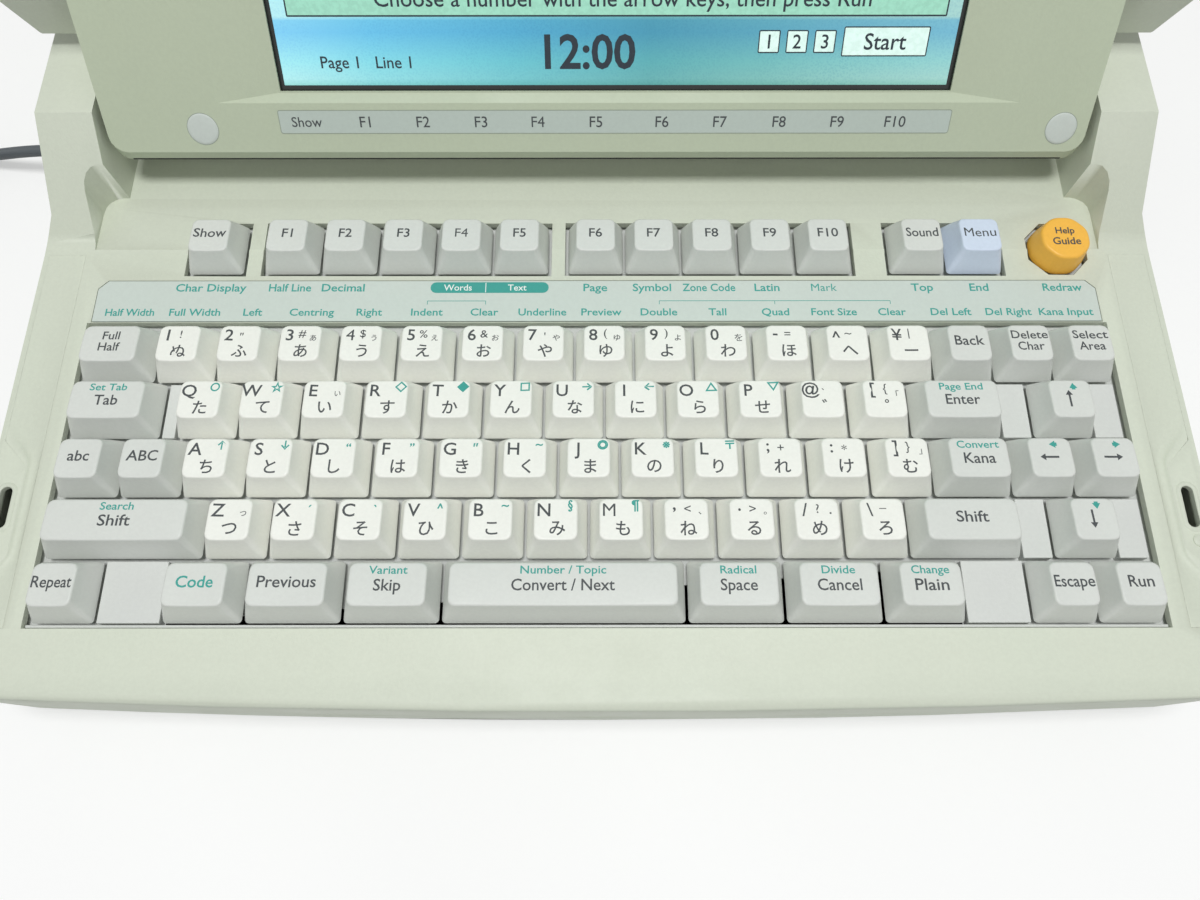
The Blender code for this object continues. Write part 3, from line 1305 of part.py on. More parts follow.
def stretch_points():
    """From the strain relief down to the table and on to the coil."""
    end = COIL_X + COIL_LEAD
    straight = CORD_DIAMETER
    length = CORD_START_X - end
    steps = round(length / CORD_POINT_SPACING)
    points = []
    for i in range(steps + 1):
        travelled = length * i / steps
        fall = eased((travelled - straight) / CORD_FALL_LENGTH)
        points.append((
            CORD_START_X - travelled,
            CORD_EXIT_Y + CORD_SHIFT * eased((travelled - straight) / CORD_SHIFT_LENGTH),
            CORD_EXIT_Z + (CORD_LOW_Z - CORD_EXIT_Z) * fall,
        ))
    return points


def coil_points():
    """Loops that spiral in on the table, climb a layer, spiral out, and so on, then lead to the plug."""
    layer_turns = COIL_TURNS / COIL_LAYERS
    points = [
        (COIL_X + COIL_LEAD - GAP, COIL_START_Y, CORD_LOW_Z),
        (COIL_X + COIL_LEAD / 2, COIL_START_Y, CORD_LOW_Z),
    ]
    count = round(COIL_TURNS * COIL_POINTS_PER_TURN)
    for i in range(count + 1):
        turn = COIL_TURNS * i / count
        along = turn % (2 * layer_turns)
        radius = COIL_OUTER_RADIUS - COIL_PITCH * min(along, 2 * layer_turns - along)
        climbs = [eased((turn - k * layer_turns) / COIL_CLIMB_TURNS + 1 / 2) for k in range(1, COIL_LAYERS)]
        angle = math.pi / 2 + 2 * math.pi * turn
        points.append((
            COIL_X + radius * math.cos(angle),
            COIL_Y + radius * math.sin(angle),
            CORD_LOW_Z + COIL_LAYER_STEP * sum(climbs),
        ))
    x, y, z = points[-1]
    plug_z = PLUG_HEIGHT / 2 + CORD_LIFT
    steps = round(PLUG_LEAD / CORD_POINT_SPACING * 2)
    for i in range(1, steps + 1):
        lead = PLUG_LEAD * i / steps
        fall = eased((lead - 2 * CORD_DIAMETER) / (PLUG_LEAD - 3 * CORD_DIAMETER))
        points.append((x, y - lead, z + (plug_z - z) * fall))
    return points


def least_gap(points, diameter, skip):
    """Least distance between the surfaces of stretches that lie more than skip points apart."""
    least = math.inf
    for i, first in enumerate(points):
        for second in points[i + skip:]:
            least = min(least, math.dist(first, second) - diameter)
    return least


def tube(name, points, resolution, material):
    curve = bpy.data.curves.new(name, "CURVE")
    curve.dimensions = "3D"
    spline = curve.splines.new("POLY")
    spline.points.add(len(points) - 1)
    for target, point in zip(spline.points, points):
        target.co = (*point, 1.0)
    curve.bevel_depth = CORD_DIAMETER / 2
    curve.bevel_resolution = resolution
    curve.use_fill_caps = True
    curve.materials.append(material)
    item = bpy.data.objects.new(name, curve)
    bpy.context.scene.collection.objects.link(item)


def build_cord(materials):
    """The free stretch of the cord, its coil, and the plug at its end."""
    tube("power_cord", stretch_points(), 2, materials["cord_vinyl"])
    coil = coil_points()
    tube("cord_coil", coil, 1, materials["cord_vinyl"])
    print("Least gap of the coil to itself, mm:", round(least_gap(coil, CORD_DIAMETER, 8) / MM, 2))
    x, y, z = coil[-1]
    build_plug(x, y - GAP, z, materials)


def plug_ring(x, y, z, half_width, half_height):
    cut_corner = min(half_width, half_height) * PLUG_CORNER_SHARE
    return [
        (x - half_width + cut_corner, y, z - half_height), (x + half_width - cut_corner, y, z - half_height),
        (x + half_width, y, z - half_height + cut_corner), (x + half_width, y, z + half_height - cut_corner),
        (x + half_width - cut_corner, y, z + half_height), (x - half_width + cut_corner, y, z + half_height),
        (x - half_width, y, z + half_height - cut_corner), (x - half_width, y, z - half_height + cut_corner),
    ]


def build_plug(x, y, z, materials):
    """Moulded two-blade plug that lies on the table with its blades to the front."""
    half_height = PLUG_HEIGHT / 2
    neck = CORD_DIAMETER / 2 + PLUG_NECK_WALL
    front = y - PLUG_NECK_LENGTH - PLUG_LENGTH
    body = loft([
        plug_ring(x, y, z, neck, neck),
        plug_ring(x, y - PLUG_NECK_LENGTH, z, neck, neck),
        plug_ring(x, y - PLUG_NECK_LENGTH - PLUG_LENGTH / 3, z, PLUG_WIDTH / 2, half_height),
        plug_ring(x, front, z, PLUG_WIDTH / 2, half_height),
    ])
    half = BLADE_THICKNESS / 2
    blades = [
        block(
            blade_x - half, blade_x + half,
            front - BLADE_LENGTH, front + BLADE_THICKNESS, z - BLADE_WIDTH / 2, z + BLADE_WIDTH / 2,
        )
        for blade_x in (x - BLADE_SPACING / 2, x + BLADE_SPACING / 2)
    ]
    join(body, *blades)
    finish(body, "power_plug", materials["cord_vinyl"])


def build_gland(materials):
    """Tapered strain relief on the left wall of the floor tray."""
    wall_x = -HALF_WIDTH - GAP
    rings = [
        (-HALF_WIDTH + WALL + GAP, GLAND_TIP_RADIUS),
        (wall_x, GLAND_TIP_RADIUS),
        (wall_x, GLAND_BASE_RADIUS),
        (wall_x - GLAND_LENGTH, GLAND_TIP_RADIUS),
    ]
    body = loft([
        [(x, y, z) for y, z in circle_points(CORD_EXIT_Y, CORD_EXIT_Z, radius, 16)] for x, radius in rings
    ])
    finish(body, "cord_gland", materials["cord_vinyl"])


def main():
    clear_scene()
    materials = {name: make_material(name, *rest) for name, *rest in ALL_MATERIALS}
    centres = build_keys(materials)
    build_key_frame(centres, materials)
    build_membrane(materials)
    build_upper_case(materials)
    build_lower_case(materials)
    build_label_plate(materials)
    build_feet(materials)
    build_main_board(materials)
    build_power_supply(materials)
    build_disk_drive(materials)
    build_printer(materials)
    build_side_controls(materials)
    build_hinge_pins(materials)
    build_lid(materials)
    build_gland(materials)
    build_cord(materials)


main()
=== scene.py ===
import json
import math

import bmesh
import bpy
from mathutils import Matrix, Vector

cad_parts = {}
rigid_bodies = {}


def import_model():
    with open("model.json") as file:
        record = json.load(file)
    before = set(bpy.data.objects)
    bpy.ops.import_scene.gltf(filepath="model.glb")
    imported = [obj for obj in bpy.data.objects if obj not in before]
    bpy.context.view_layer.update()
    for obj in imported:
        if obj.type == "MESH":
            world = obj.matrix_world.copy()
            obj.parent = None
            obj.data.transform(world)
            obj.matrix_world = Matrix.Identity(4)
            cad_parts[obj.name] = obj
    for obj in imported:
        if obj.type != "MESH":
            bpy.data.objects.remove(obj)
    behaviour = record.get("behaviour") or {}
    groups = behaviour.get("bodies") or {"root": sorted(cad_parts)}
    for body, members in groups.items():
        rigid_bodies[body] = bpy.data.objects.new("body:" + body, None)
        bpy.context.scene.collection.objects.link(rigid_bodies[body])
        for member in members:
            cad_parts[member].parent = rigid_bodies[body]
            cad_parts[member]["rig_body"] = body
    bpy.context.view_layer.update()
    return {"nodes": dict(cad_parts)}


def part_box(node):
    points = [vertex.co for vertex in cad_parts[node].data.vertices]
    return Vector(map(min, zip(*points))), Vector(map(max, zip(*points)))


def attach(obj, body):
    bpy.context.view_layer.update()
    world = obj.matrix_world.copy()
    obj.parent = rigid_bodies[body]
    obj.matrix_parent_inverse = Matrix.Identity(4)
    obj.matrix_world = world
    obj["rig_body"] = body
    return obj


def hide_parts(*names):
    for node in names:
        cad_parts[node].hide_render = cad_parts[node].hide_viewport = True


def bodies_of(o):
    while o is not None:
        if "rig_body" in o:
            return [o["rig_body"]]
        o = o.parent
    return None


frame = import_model()

MM = 0.001
scene = bpy.context.scene
scene.view_settings.view_transform = "Standard"
nodes = frame["nodes"]


# Camera

camera = bpy.data.cameras.new("camera")
camera.lens = 27.0
camera.sensor_width = 36.0
camera.clip_start = 0.01
camera_object = bpy.data.objects.new("camera", camera)
scene.collection.objects.link(camera_object)
camera_object.matrix_world = (
    Matrix.Translation((0.001, -0.19045, 0.306))
    @ Matrix.Rotation(math.radians(20.0), 4, "X")
    @ Matrix.Rotation(math.radians(-0.05), 4, "Z")
)
scene.camera = camera_object


# Materials

def linear(red, green, blue):
    """Linear colour of an sRGB colour given in 0 to 255."""
    values = []
    for value in (red, green, blue):
        value /= 255.0
        value = value / 12.92 if value <= 0.04045 else ((value + 0.055) / 1.055) ** 2.4
        values.append(min(value, 0.95))
    return (*values, 1.0)


class Nodes:
    """A material's node tree with short calls to add and link nodes."""

    def __init__(self, name):
        self.material = bpy.data.materials.new(name)
        self.material.use_nodes = True
        self.tree = self.material.node_tree
        self.shader = self.tree.nodes["Principled BSDF"]
        self.place = self.add("ShaderNodeTexCoord").outputs["Object"]

    def add(self, kind, **settings):
        node = self.tree.nodes.new(kind)
        for key, value in settings.items():
            setattr(node, key, value)
        return node

    def link(self, output, target):
        self.tree.links.new(output, target)

    def noise(self, scale, detail=3.0, roughness=0.55, stretch=(1.0, 1.0, 1.0)):
        mapping = self.add("ShaderNodeMapping")
        mapping.inputs["Scale"].default_value = stretch
        self.link(self.place, mapping.inputs["Vector"])
        node = self.add("ShaderNodeTexNoise")
        node.inputs["Scale"].default_value = scale
        node.inputs["Detail"].default_value = detail
        node.inputs["Roughness"].default_value = roughness
        self.link(mapping.outputs["Vector"], node.inputs["Vector"])
        return node.outputs["Fac"]

    def ramp(self, factor, stops):
        node = self.add("ShaderNodeValToRGB")
        elements = node.color_ramp.elements
        while len(elements) < len(stops):
            elements.new(0.5)
        for element, (position, colour) in zip(elements, stops):
            element.position = position
            element.color = colour
        self.link(factor, node.inputs["Fac"])
        return node.outputs["Color"]

    def mix(self, factor, first, second, blend="MIX"):
        node = self.add("ShaderNodeMix", data_type="RGBA", blend_type=blend)
        for socket, value in ((node.inputs[0], factor), (node.inputs[6], first), (node.inputs[7], second)):
            if isinstance(value, (float, tuple)):
                socket.default_value = value
            else:
                self.link(value, socket)
        return node.outputs[2]

    def spread(self, factor, low, high, start=0.3, end=0.7):
        node = self.add("ShaderNodeMapRange")
        node.inputs["From Min"].default_value = start
        node.inputs["From Max"].default_value = end
        node.inputs["To Min"].default_value = low
        node.inputs["To Max"].default_value = high
        self.link(factor, node.inputs["Value"])
        return node.outputs["Result"]

    def bump(self, height, distance):
        node = self.add("ShaderNodeBump")
        node.inputs["Distance"].default_value = distance
        self.link(height, node.inputs["Height"])
        self.link(node.outputs["Normal"], self.shader.inputs["Normal"])


def shaded(colour, factor):
    return (*[min(c * factor, 1.0) for c in colour[:3]], 1.0)


def moulded(name, colour, roughness, grain=0.0007, depth=0.00003, mottle=0.02, edge_and_hollow_strength=0.05, gloss=0.4):
    """Moulded plastic or rubber: fine grain, faint mottling, lighter sharp outer edges and darker, warmer hollows."""
    n = Nodes(name)
    broad = n.ramp(n.noise(14.0, 4.0), [(0.3, shaded(colour, 1 - mottle)), (0.7, shaded(colour, 1 + mottle))])
    fine = n.ramp(n.noise(900.0, 2.0), [(0.35, (0.97, 0.97, 0.97, 1.0)), (0.65, (1.0, 1.0, 1.0, 1.0))])
    tinted = n.mix(1.0, broad, fine, "MULTIPLY")
    if edge_and_hollow_strength > 0.0:
        # By pointiness: concave hollows darker and warmer, sharp outer edges lighter.
        edges = n.add("ShaderNodeNewGeometry").outputs["Pointiness"]
        edge_and_hollow_tone = n.ramp(edges, [
            (0.44, (1 - 1.6 * edge_and_hollow_strength, 1 - 1.7 * edge_and_hollow_strength, 1 - 1.9 * edge_and_hollow_strength, 1.0)), (0.49, (1.0, 1.0, 1.0, 1.0)),
            (0.53, (1.0, 1.0, 1.0, 1.0)), (0.60, (1 + edge_and_hollow_strength, 1 + edge_and_hollow_strength, 1 + edge_and_hollow_strength, 1.0)),
        ])
        tinted = n.mix(1.0, tinted, edge_and_hollow_tone, "MULTIPLY")
    n.link(tinted, n.shader.inputs["Base Color"])
    n.link(n.spread(n.noise(60.0, 5.0), roughness - 0.05, roughness + 0.07), n.shader.inputs["Roughness"])
    n.shader.inputs["Specular IOR Level"].default_value = gloss
    n.bump(n.noise(1.0 / grain, 2.0, 0.6), depth)
    return n.material


def metal(name, colour, roughness):
    n = Nodes(name)
    n.link(
        n.ramp(n.noise(40.0, 4.0), [(0.3, shaded(colour, 0.9)), (0.7, shaded(colour, 1.05))]),
        n.shader.inputs["Base Color"],
    )
    n.shader.inputs["Metallic"].default_value = 1.0
    brushed = n.noise(500.0, 3.0, 0.6, (1.0, 0.06, 1.0))
    n.link(n.spread(brushed, roughness - 0.08, roughness + 0.12), n.shader.inputs["Roughness"])
    n.bump(brushed, 0.00001)
    return n.material


def board_resin(name):
    n = Nodes(name)
    lines = n.add("ShaderNodeTexBrick")
    lines.inputs["Scale"].default_value = 160.0
    lines.inputs["Color1"].default_value = (0.035, 0.16, 0.07, 1.0)
    lines.inputs["Color2"].default_value = (0.045, 0.20, 0.09, 1.0)
    lines.inputs["Mortar"].default_value = (0.09, 0.30, 0.15, 1.0)
    lines.inputs["Mortar Size"].default_value = 0.03
    n.link(n.place, lines.inputs["Vector"])
    n.link(lines.outputs["Color"], n.shader.inputs["Base Color"])
    n.link(n.spread(n.noise(80.0), 0.3, 0.5), n.shader.inputs["Roughness"])
    return n.material


CASE = linear(209, 215, 199)
BEZEL = linear(190, 200, 176)
MATERIALS = {
    "case_plastic": moulded("case_plastic", CASE, 0.50, 0.0008, 0.00005, 0.018, 0.05),
    "bezel_plastic": moulded("bezel_plastic", BEZEL, 0.52, 0.0006, 0.00004, 0.015, 0.04),
    "white_key_plastic": moulded("white_key_plastic", linear(242, 243, 236), 0.42, 0.0005, 0.00002, 0.008, 0.02),
    "grey_key_plastic": moulded("grey_key_plastic", linear(217, 220, 215), 0.45, 0.0005, 0.00002, 0.012, 0.03),
    "blue_key_plastic": moulded("blue_key_plastic", linear(212, 224, 242), 0.42, 0.0005, 0.00002, 0.012, 0.02),
    "orange_key_plastic": moulded("orange_key_plastic", linear(255, 190, 76), 0.42, 0.0005, 0.00002, 0.02, 0.03),
    "frame_plastic": moulded("frame_plastic", linear(210, 213, 209), 0.50, 0.0006, 0.00003, 0.02, 0.05),
    "membrane_rubber": moulded("membrane_rubber", linear(150, 152, 150), 0.70, 0.0006, 0.00004, 0.03, 0.0),
    "label_film": moulded("label_film", linear(204, 214, 207), 0.40, 0.0004, 0.00001, 0.008, 0.0),
    "screen_glass": moulded("screen_glass", linear(40, 43, 42), 0.22, 0.0009, 0.00001, 0.03, 0.0, 0.5),
    "dark_plastic": moulded("dark_plastic", linear(50, 52, 53), 0.50, 0.0006, 0.00004, 0.06, 0.08),
    "platen_rubber": moulded("platen_rubber", linear(44, 44, 45), 0.72, 0.0005, 0.00005, 0.08, 0.1),
    "foot_rubber": moulded("foot_rubber", linear(52, 52, 54), 0.80, 0.0006, 0.00006, 0.08, 0.1),
    "cord_vinyl": moulded("cord_vinyl", linear(88, 94, 98), 0.50, 0.0006, 0.00003, 0.05, 0.05),
    "plated_steel": metal("plated_steel", (0.62, 0.63, 0.64, 1.0), 0.34),
    "plated_brass": metal("plated_brass", (0.78, 0.66, 0.38, 1.0), 0.28),
    "board_resin": board_resin("board_resin"),
}
INK_DARK = moulded("ink_dark", linear(72, 76, 78), 0.55, 0.0004, 0.00001, 0.04, 0.0)
INK_TEAL = moulded("ink_teal", linear(62, 160, 150), 0.55, 0.0004, 0.00001, 0.03, 0.0)
INK_WHITE = moulded("ink_white", linear(238, 244, 240), 0.55, 0.0004, 0.00001, 0.02, 0.0)
STRIP_FILM = moulded("strip_film", linear(189, 201, 193), 0.42, 0.0004, 0.00001, 0.01, 0.0)
# Darker green: painted shade for the groove round the bezel's label strip and the gap round each plug.
PAINTED_GROOVE_SHADE = moulded("strip_edge", linear(150, 160, 146), 0.55, 0.0004, 0.00001, 0.03, 0.0)
PLUG_PLASTIC = moulded("plug_plastic", linear(203, 211, 205), 0.55, 0.0005, 0.00002, 0.015, 0.02)
# Near black: the colour of the painted shadow in the gap under the lid's neck.
PAINTED_GAP_SHADOW = moulded("painted_gap_shadow", linear(26, 27, 28), 0.6, 0.0006, 0.00003, 0.05, 0.0)


# Mesh helpers

def body_of(node):
    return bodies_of(nodes[node])[0]


def add_piece(name, bm, materials, body, replaces=(), sharp=35.0):
    """Turns a bmesh into a piece with smooth shading that breaks at sharp edges."""
    bmesh.ops.recalc_face_normals(bm, faces=bm.faces)
    mesh = bpy.data.meshes.new(name)
    bm.to_mesh(mesh)
    bm.free()
    mesh.polygons.foreach_set("use_smooth", [True] * len(mesh.polygons))
    mesh.set_sharp_from_angle(angle=math.radians(sharp))
    for material in materials if isinstance(materials, (list, tuple)) else [materials]:
        mesh.materials.append(material)
    item = bpy.data.objects.new(name, mesh)
    scene.collection.objects.link(item)
    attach(item, body)
    if replaces:
        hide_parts(*replaces)
    return item


def add_loft(bm, rings, place=None, cap_start=True, cap_end=True):
    """A closed shell through rings of equally many points."""
    rows = []
    for ring in rings:
        rows.append([bm.verts.new(place @ Vector(p) if place else p) for p in ring])
    count = len(rows[0])
    for low, high in zip(rows, rows[1:]):
        for i in range(count):
            j = (i + 1) % count
            bm.faces.new((low[i], low[j], high[j], high[i]))
    if cap_start:
        bm.faces.new(list(reversed(rows[0])))
    if cap_end:
        bm.faces.new(rows[-1])
    return rows


def rounded_ring(x0, x1, y0, y1, radius, z=0.0, along_x=6, along_y=3, corner=4):
    """Points round a rectangle with round corners, the same number whatever its size."""
    radius = max(min(radius, (x1 - x0) / 2.01, (y1 - y0) / 2.01), 0.00001)
    corners = [
        (x1 - radius, y0 + radius, -90.0, along_y), (x1 - radius, y1 - radius, 0.0, along_x),
        (x0 + radius, y1 - radius, 90.0, along_y), (x0 + radius, y0 + radius, 180.0, along_x),
    ]
    arcs = []
    for cx, cy, start, _ in corners:
        arcs.append([
            (cx + radius * math.cos(math.radians(start + 90.0 * i / corner)),
             cy + radius * math.sin(math.radians(start + 90.0 * i / corner)))
            for i in range(corner + 1)
        ])
    points = []
    for k, (_, _, _, steps) in enumerate(corners):
        points += arcs[k]
        ax, ay = arcs[k][-1]
        bx, by = arcs[(k + 1) % 4][0]
        points += [(ax + (bx - ax) * i / steps, ay + (by - ay) * i / steps) for i in range(1, steps)]
    return [(x, y, z) for x, y in points]


def plate(bm, x0, x1, y0, y1, radius, z0, z1, edge=0.0, place=None, along=(6, 3)):
    """A flat plate with round corners and a softened upper edge."""
    rings = [rounded_ring(x0, x1, y0, y1, radius, z0, *along)]
    if edge > 0.0:
        for angle in (0.0, 30.0, 60.0, 90.0):
            inset = edge * (1 - math.cos(math.radians(angle)))
            z = z1 - edge + edge * math.sin(math.radians(angle))
            rings.append(rounded_ring(x0 + inset, x1 - inset, y0 + inset, y1 - inset, radius - inset, z, *along))
    else:
        rings.append(rounded_ring(x0, x1, y0, y1, radius, z1, *along))
    add_loft(bm, rings, place)


def turned(bm, profile, place, sides=32):
    """A closed turned form: profile gives (radius, height) from its lower middle to its upper middle."""
    rings = [
        [(r * math.cos(2 * math.pi * i / sides), r * math.sin(2 * math.pi * i / sides), h) for i in range(sides)]
        for r, h in profile
    ]
    add_loft(bm, rings, place)


SAME_POINT = 0.00001
FLAT_ANGLE = math.radians(0.7)
ROUNDED_ANGLE = math.radians(24.0)
SHORT_EDGE = 2.3


def rounded_copy(node, width, segments=2):
    """A copy of a CAD node with its longer sharp edges rounded, which stands for the node."""
    bm = bmesh.new()
    bm.from_mesh(nodes[node].data)
    bmesh.ops.remove_doubles(bm, verts=bm.verts, dist=SAME_POINT)
    bmesh.ops.dissolve_limit(
        bm, angle_limit=FLAT_ANGLE, verts=bm.verts, edges=bm.edges, use_dissolve_boundaries=False
    )
    short = {v for e in bm.edges if e.calc_length() < SHORT_EDGE * width for v in e.verts}
    chosen = [
        e for e in bm.edges
        if len(e.link_faces) == 2 and e.calc_face_angle(0.0) > ROUNDED_ANGLE
        and e.verts[0] not in short and e.verts[1] not in short
    ]
    if chosen:
        bmesh.ops.bevel(
            bm, geom=chosen, offset=width, offset_type="OFFSET", segments=segments, profile=0.5,
            affect="EDGES", clamp_overlap=True,
        )
    material = nodes[node].data.materials[0].name.split(".")[0]
    item = add_piece(node + "_finished", bm, MATERIALS[material], body_of(node), [node])
    item.modifiers.new("weighted", "WEIGHTED_NORMAL").keep_sharp = True
    return item


# Cord, repeated from the CAD route

HALF_WIDTH = 0.18550625
CORD_DIAMETER = 0.0044
CORD_START = (-0.21010625, 0.04165, 0.0135)
CORD_LOW_Z = 0.0025
CORD_SHIFT = 0.0058
COIL_X = -0.28950625
COIL_LEAD = 0.009
COIL_RADIUS = 0.0332
COIL_PITCH = 0.0052
COIL_TURNS = 10.25
COIL_LAYERS = 4
PLUG_LEAD = 0.046
PLUG_HEIGHT = 0.014
PLUG_WIDTH = 0.020
PLUG_LENGTH = 0.026
PLUG_NECK = 0.008


def eased(share):
    share = min(max(share, 0.0), 1.0)
    return share * share * (3.0 - 2.0 * share)


def cord_route():
    start_x, start_y, start_z = CORD_START
    points = []
    length = start_x - (COIL_X + COIL_LEAD)
    steps = round(length / 0.005)
    for i in range(steps + 1):
        travelled = length * i / steps
        points.append((
            start_x - travelled,
            start_y + CORD_SHIFT * eased((travelled - CORD_DIAMETER) / 0.060),
            start_z + (CORD_LOW_Z - start_z) * eased((travelled - CORD_DIAMETER) / 0.052),
        ))
    coil_y = start_y + CORD_SHIFT - COIL_RADIUS
    points.append((COIL_X + COIL_LEAD / 2, start_y + CORD_SHIFT, CORD_LOW_Z))
    layer = COIL_TURNS / COIL_LAYERS
    count = round(COIL_TURNS * 36)
    for i in range(count + 1):
        turn = COIL_TURNS * i / count
        along = turn % (2 * layer)
        radius = COIL_RADIUS - COIL_PITCH * min(along, 2 * layer - along)
        climbs = [eased((turn - k * layer) / 0.5 + 0.5) for k in range(1, COIL_LAYERS)]
        angle = math.pi / 2 + 2 * math.pi * turn
        points.append((
            COIL_X + radius * math.cos(angle), coil_y + radius * math.sin(angle),
            CORD_LOW_Z + 0.0052 * sum(climbs),
        ))
    x, y, z = points[-1]
    plug_z = PLUG_HEIGHT / 2 + 0.0003
    steps = 12
    for i in range(1, steps + 1):
        lead = PLUG_LEAD * i / steps
        fall = eased((lead - 2 * CORD_DIAMETER) / (PLUG_LEAD - 3 * CORD_DIAMETER))
        points.append((x, y - lead, z + (plug_z - z) * fall))
    return points


def twin_section():
    """Round twin core with a shallow groove above and below."""
    radius = CORD_DIAMETER / 2
    section = []
    for i in range(20):
        angle = 2 * math.pi * (i + 0.5) / 20
        groove = min(abs(angle - math.pi / 2), abs(angle - 3 * math.pi / 2))
        depth = 0.00035 if groove < 0.2 else 0.0
        section.append((radius * math.cos(angle), (radius - depth) * math.sin(angle)))
    return section


def build_cord():
    route = [Vector(p) for p in cord_route()]
    section = twin_section()
    up = Vector((0.0, 0.0, 1.0))
    rings = []
    for i, point in enumerate(route):
        ahead = route[min(i + 1, len(route) - 1)] - route[max(i - 1, 0)]
        ahead.normalize()
        side = ahead.cross(up).normalized()
        above = side.cross(ahead).normalized()
        rings.append([point + side * a + above * b for a, b in section])
    bm = bmesh.new()
    add_loft(bm, rings)
    length = sum((b - a).length for a, b in zip(route, route[1:]))
    cord = add_piece(
        "mains_cord", bm, MATERIALS["cord_vinyl"], body_of("power_cord"),
        ["power_cord", "cord_coil"], 50.0,
    )
    return cord, route, length


def build_plug(end):
    """Moulded plug with finger ribs, a ribbed neck and two blades."""
    x, y, z = end
    y -= 0.0003
    body = bmesh.new()
    neck = CORD_DIAMETER / 2 + 0.0014
    sizes = []
    for i in range(9):
        wave = 0.0005 if i % 2 else 0.0
        sizes.append((PLUG_NECK * i / 9, neck - wave, neck - wave, 0.45))
    half_w, half_h = PLUG_WIDTH / 2, PLUG_HEIGHT / 2
    for share, grow in ((0.0, 0.0), (0.25, 0.35), (0.5, 0.72), (0.75, 0.93), (1.0, 1.0)):
        sizes.append((
            PLUG_NECK + PLUG_LENGTH * share / 3, neck + (half_w - neck) * grow, neck + (half_h - neck) * grow, 0.5,
        ))
    for i in range(1, 8):
        dip = 0.0007 if i % 2 else 0.0
        sizes.append((PLUG_NECK + PLUG_LENGTH * (0.36 + 0.06 * i), half_w - dip, half_h - dip, 0.42))
    total = PLUG_NECK + PLUG_LENGTH
    sizes += [(total - 0.0012, half_w, half_h, 0.42), (total - 0.0004, half_w - 0.0004, half_h - 0.0004, 0.42),
              (total, half_w - 0.0012, half_h - 0.0012, 0.42)]
    rings = []
    for along, half_x, half_z, corner in sizes:
        ring = rounded_ring(-half_x, half_x, -half_z, half_z, min(half_x, half_z) * 2 * corner * 0.9, 0.0, 3, 2, 4)
        rings.append([(x + px, y - along, z + pz) for px, pz, _ in ring])
    add_loft(body, rings)
    plug = add_piece(
        "plug_body", body, MATERIALS["cord_vinyl"], body_of("power_plug"), ["power_plug"], 40.0
    )
    blades = bmesh.new()
    front = y - total
    for blade_x in (x - 0.00635, x + 0.00635):
        rings = []
        for along, half_x, half_z in (
            (-0.0015, 0.00075, 0.00315), (0.0140, 0.00075, 0.00315), (0.0162, 0.00065, 0.0026),
            (0.0170, 0.00035, 0.0019),
        ):
            rings.append([
                (blade_x + px, front - along, z + pz)
                for px, pz, _ in rounded_ring(-half_x, half_x, -half_z, half_z, 0.0003, 0.0, 2, 3, 2)
            ])
        add_loft(blades, rings)
    metal_blades = add_piece(
        "plug_blades", blades, MATERIALS["plated_brass"], body_of("power_plug")
    )
    return plug, metal_blades


def build_gland():
    """Ribbed strain relief on the left wall."""
    bm = bmesh.new()
    wall = -HALF_WIDTH - 0.0003
    rings = [(-HALF_WIDTH + 0.0028, 0.0031), (wall, 0.0031), (wall, 0.0042), (wall - 0.0022, 0.0042)]
    ribs = 9
    for i in range(ribs):
        for share, dip in ((0.0, 0.0005), (0.3, 0.0005), (0.35, 0.0), (0.95, 0.0)):
            along = 0.0026 + (0.0214 - 0.0008) * (i + share) / ribs
            rings.append((wall - along, 0.0042 - 0.0011 * along / 0.024 - dip))
    rings += [(wall - 0.0236, 0.0031), (wall - 0.024, 0.0027)]
    points = [
        [(px, CORD_START[1] + r * math.cos(a), CORD_START[2] + r * math.sin(a))
         for a in [2 * math.pi * k / 20 for k in range(20)]]
        for px, r in rings
    ]
    add_loft(bm, points)
    return add_piece(
        "gland_ribbed", bm, MATERIALS["cord_vinyl"], body_of("cord_gland"), ["cord_gland"], 40.0
    )


cord_piece, route, cord_length = build_cord()
plug_pieces = build_plug(route[-1])
build_gland()


# Lettering: thin closed bodies that lie in the surface they are printed on

INK = 0.03 * MM
glyph_cache = {}


def glyph(text, weight):
    """Points and faces of a text one unit high. The built-in M and 4 don't fill when they are emboldened."""
    if "M" in text or "4" in text:
        weight = 0.0
    key = (text, weight)
    if key not in glyph_cache:
        curve = bpy.data.curves.new("glyph", "FONT")
        curve.body = text
        curve.resolution_u = 3
        curve.offset = weight
        curve.extrude = 0.5
        item = bpy.data.objects.new("glyph", curve)
        scene.collection.objects.link(item)
        graph = bpy.context.evaluated_depsgraph_get()
        mesh = bpy.data.meshes.new_from_object(item.evaluated_get(graph))
        bm = bmesh.new()
        bm.from_mesh(mesh)
        bmesh.ops.remove_doubles(bm, verts=bm.verts, dist=0.00005)
        bm.verts.index_update()
        points = [(v.co.x, v.co.y, v.co.z) for v in bm.verts]
        faces = [[v.index for v in f.verts] for f in bm.faces]
        bm.free()
        bpy.data.objects.remove(item)
        bpy.data.meshes.remove(mesh)
        glyph_cache[key] = (points, faces)
    return glyph_cache[key]


CAPS = max(p[1] for p in glyph("H", 0.0)[0])


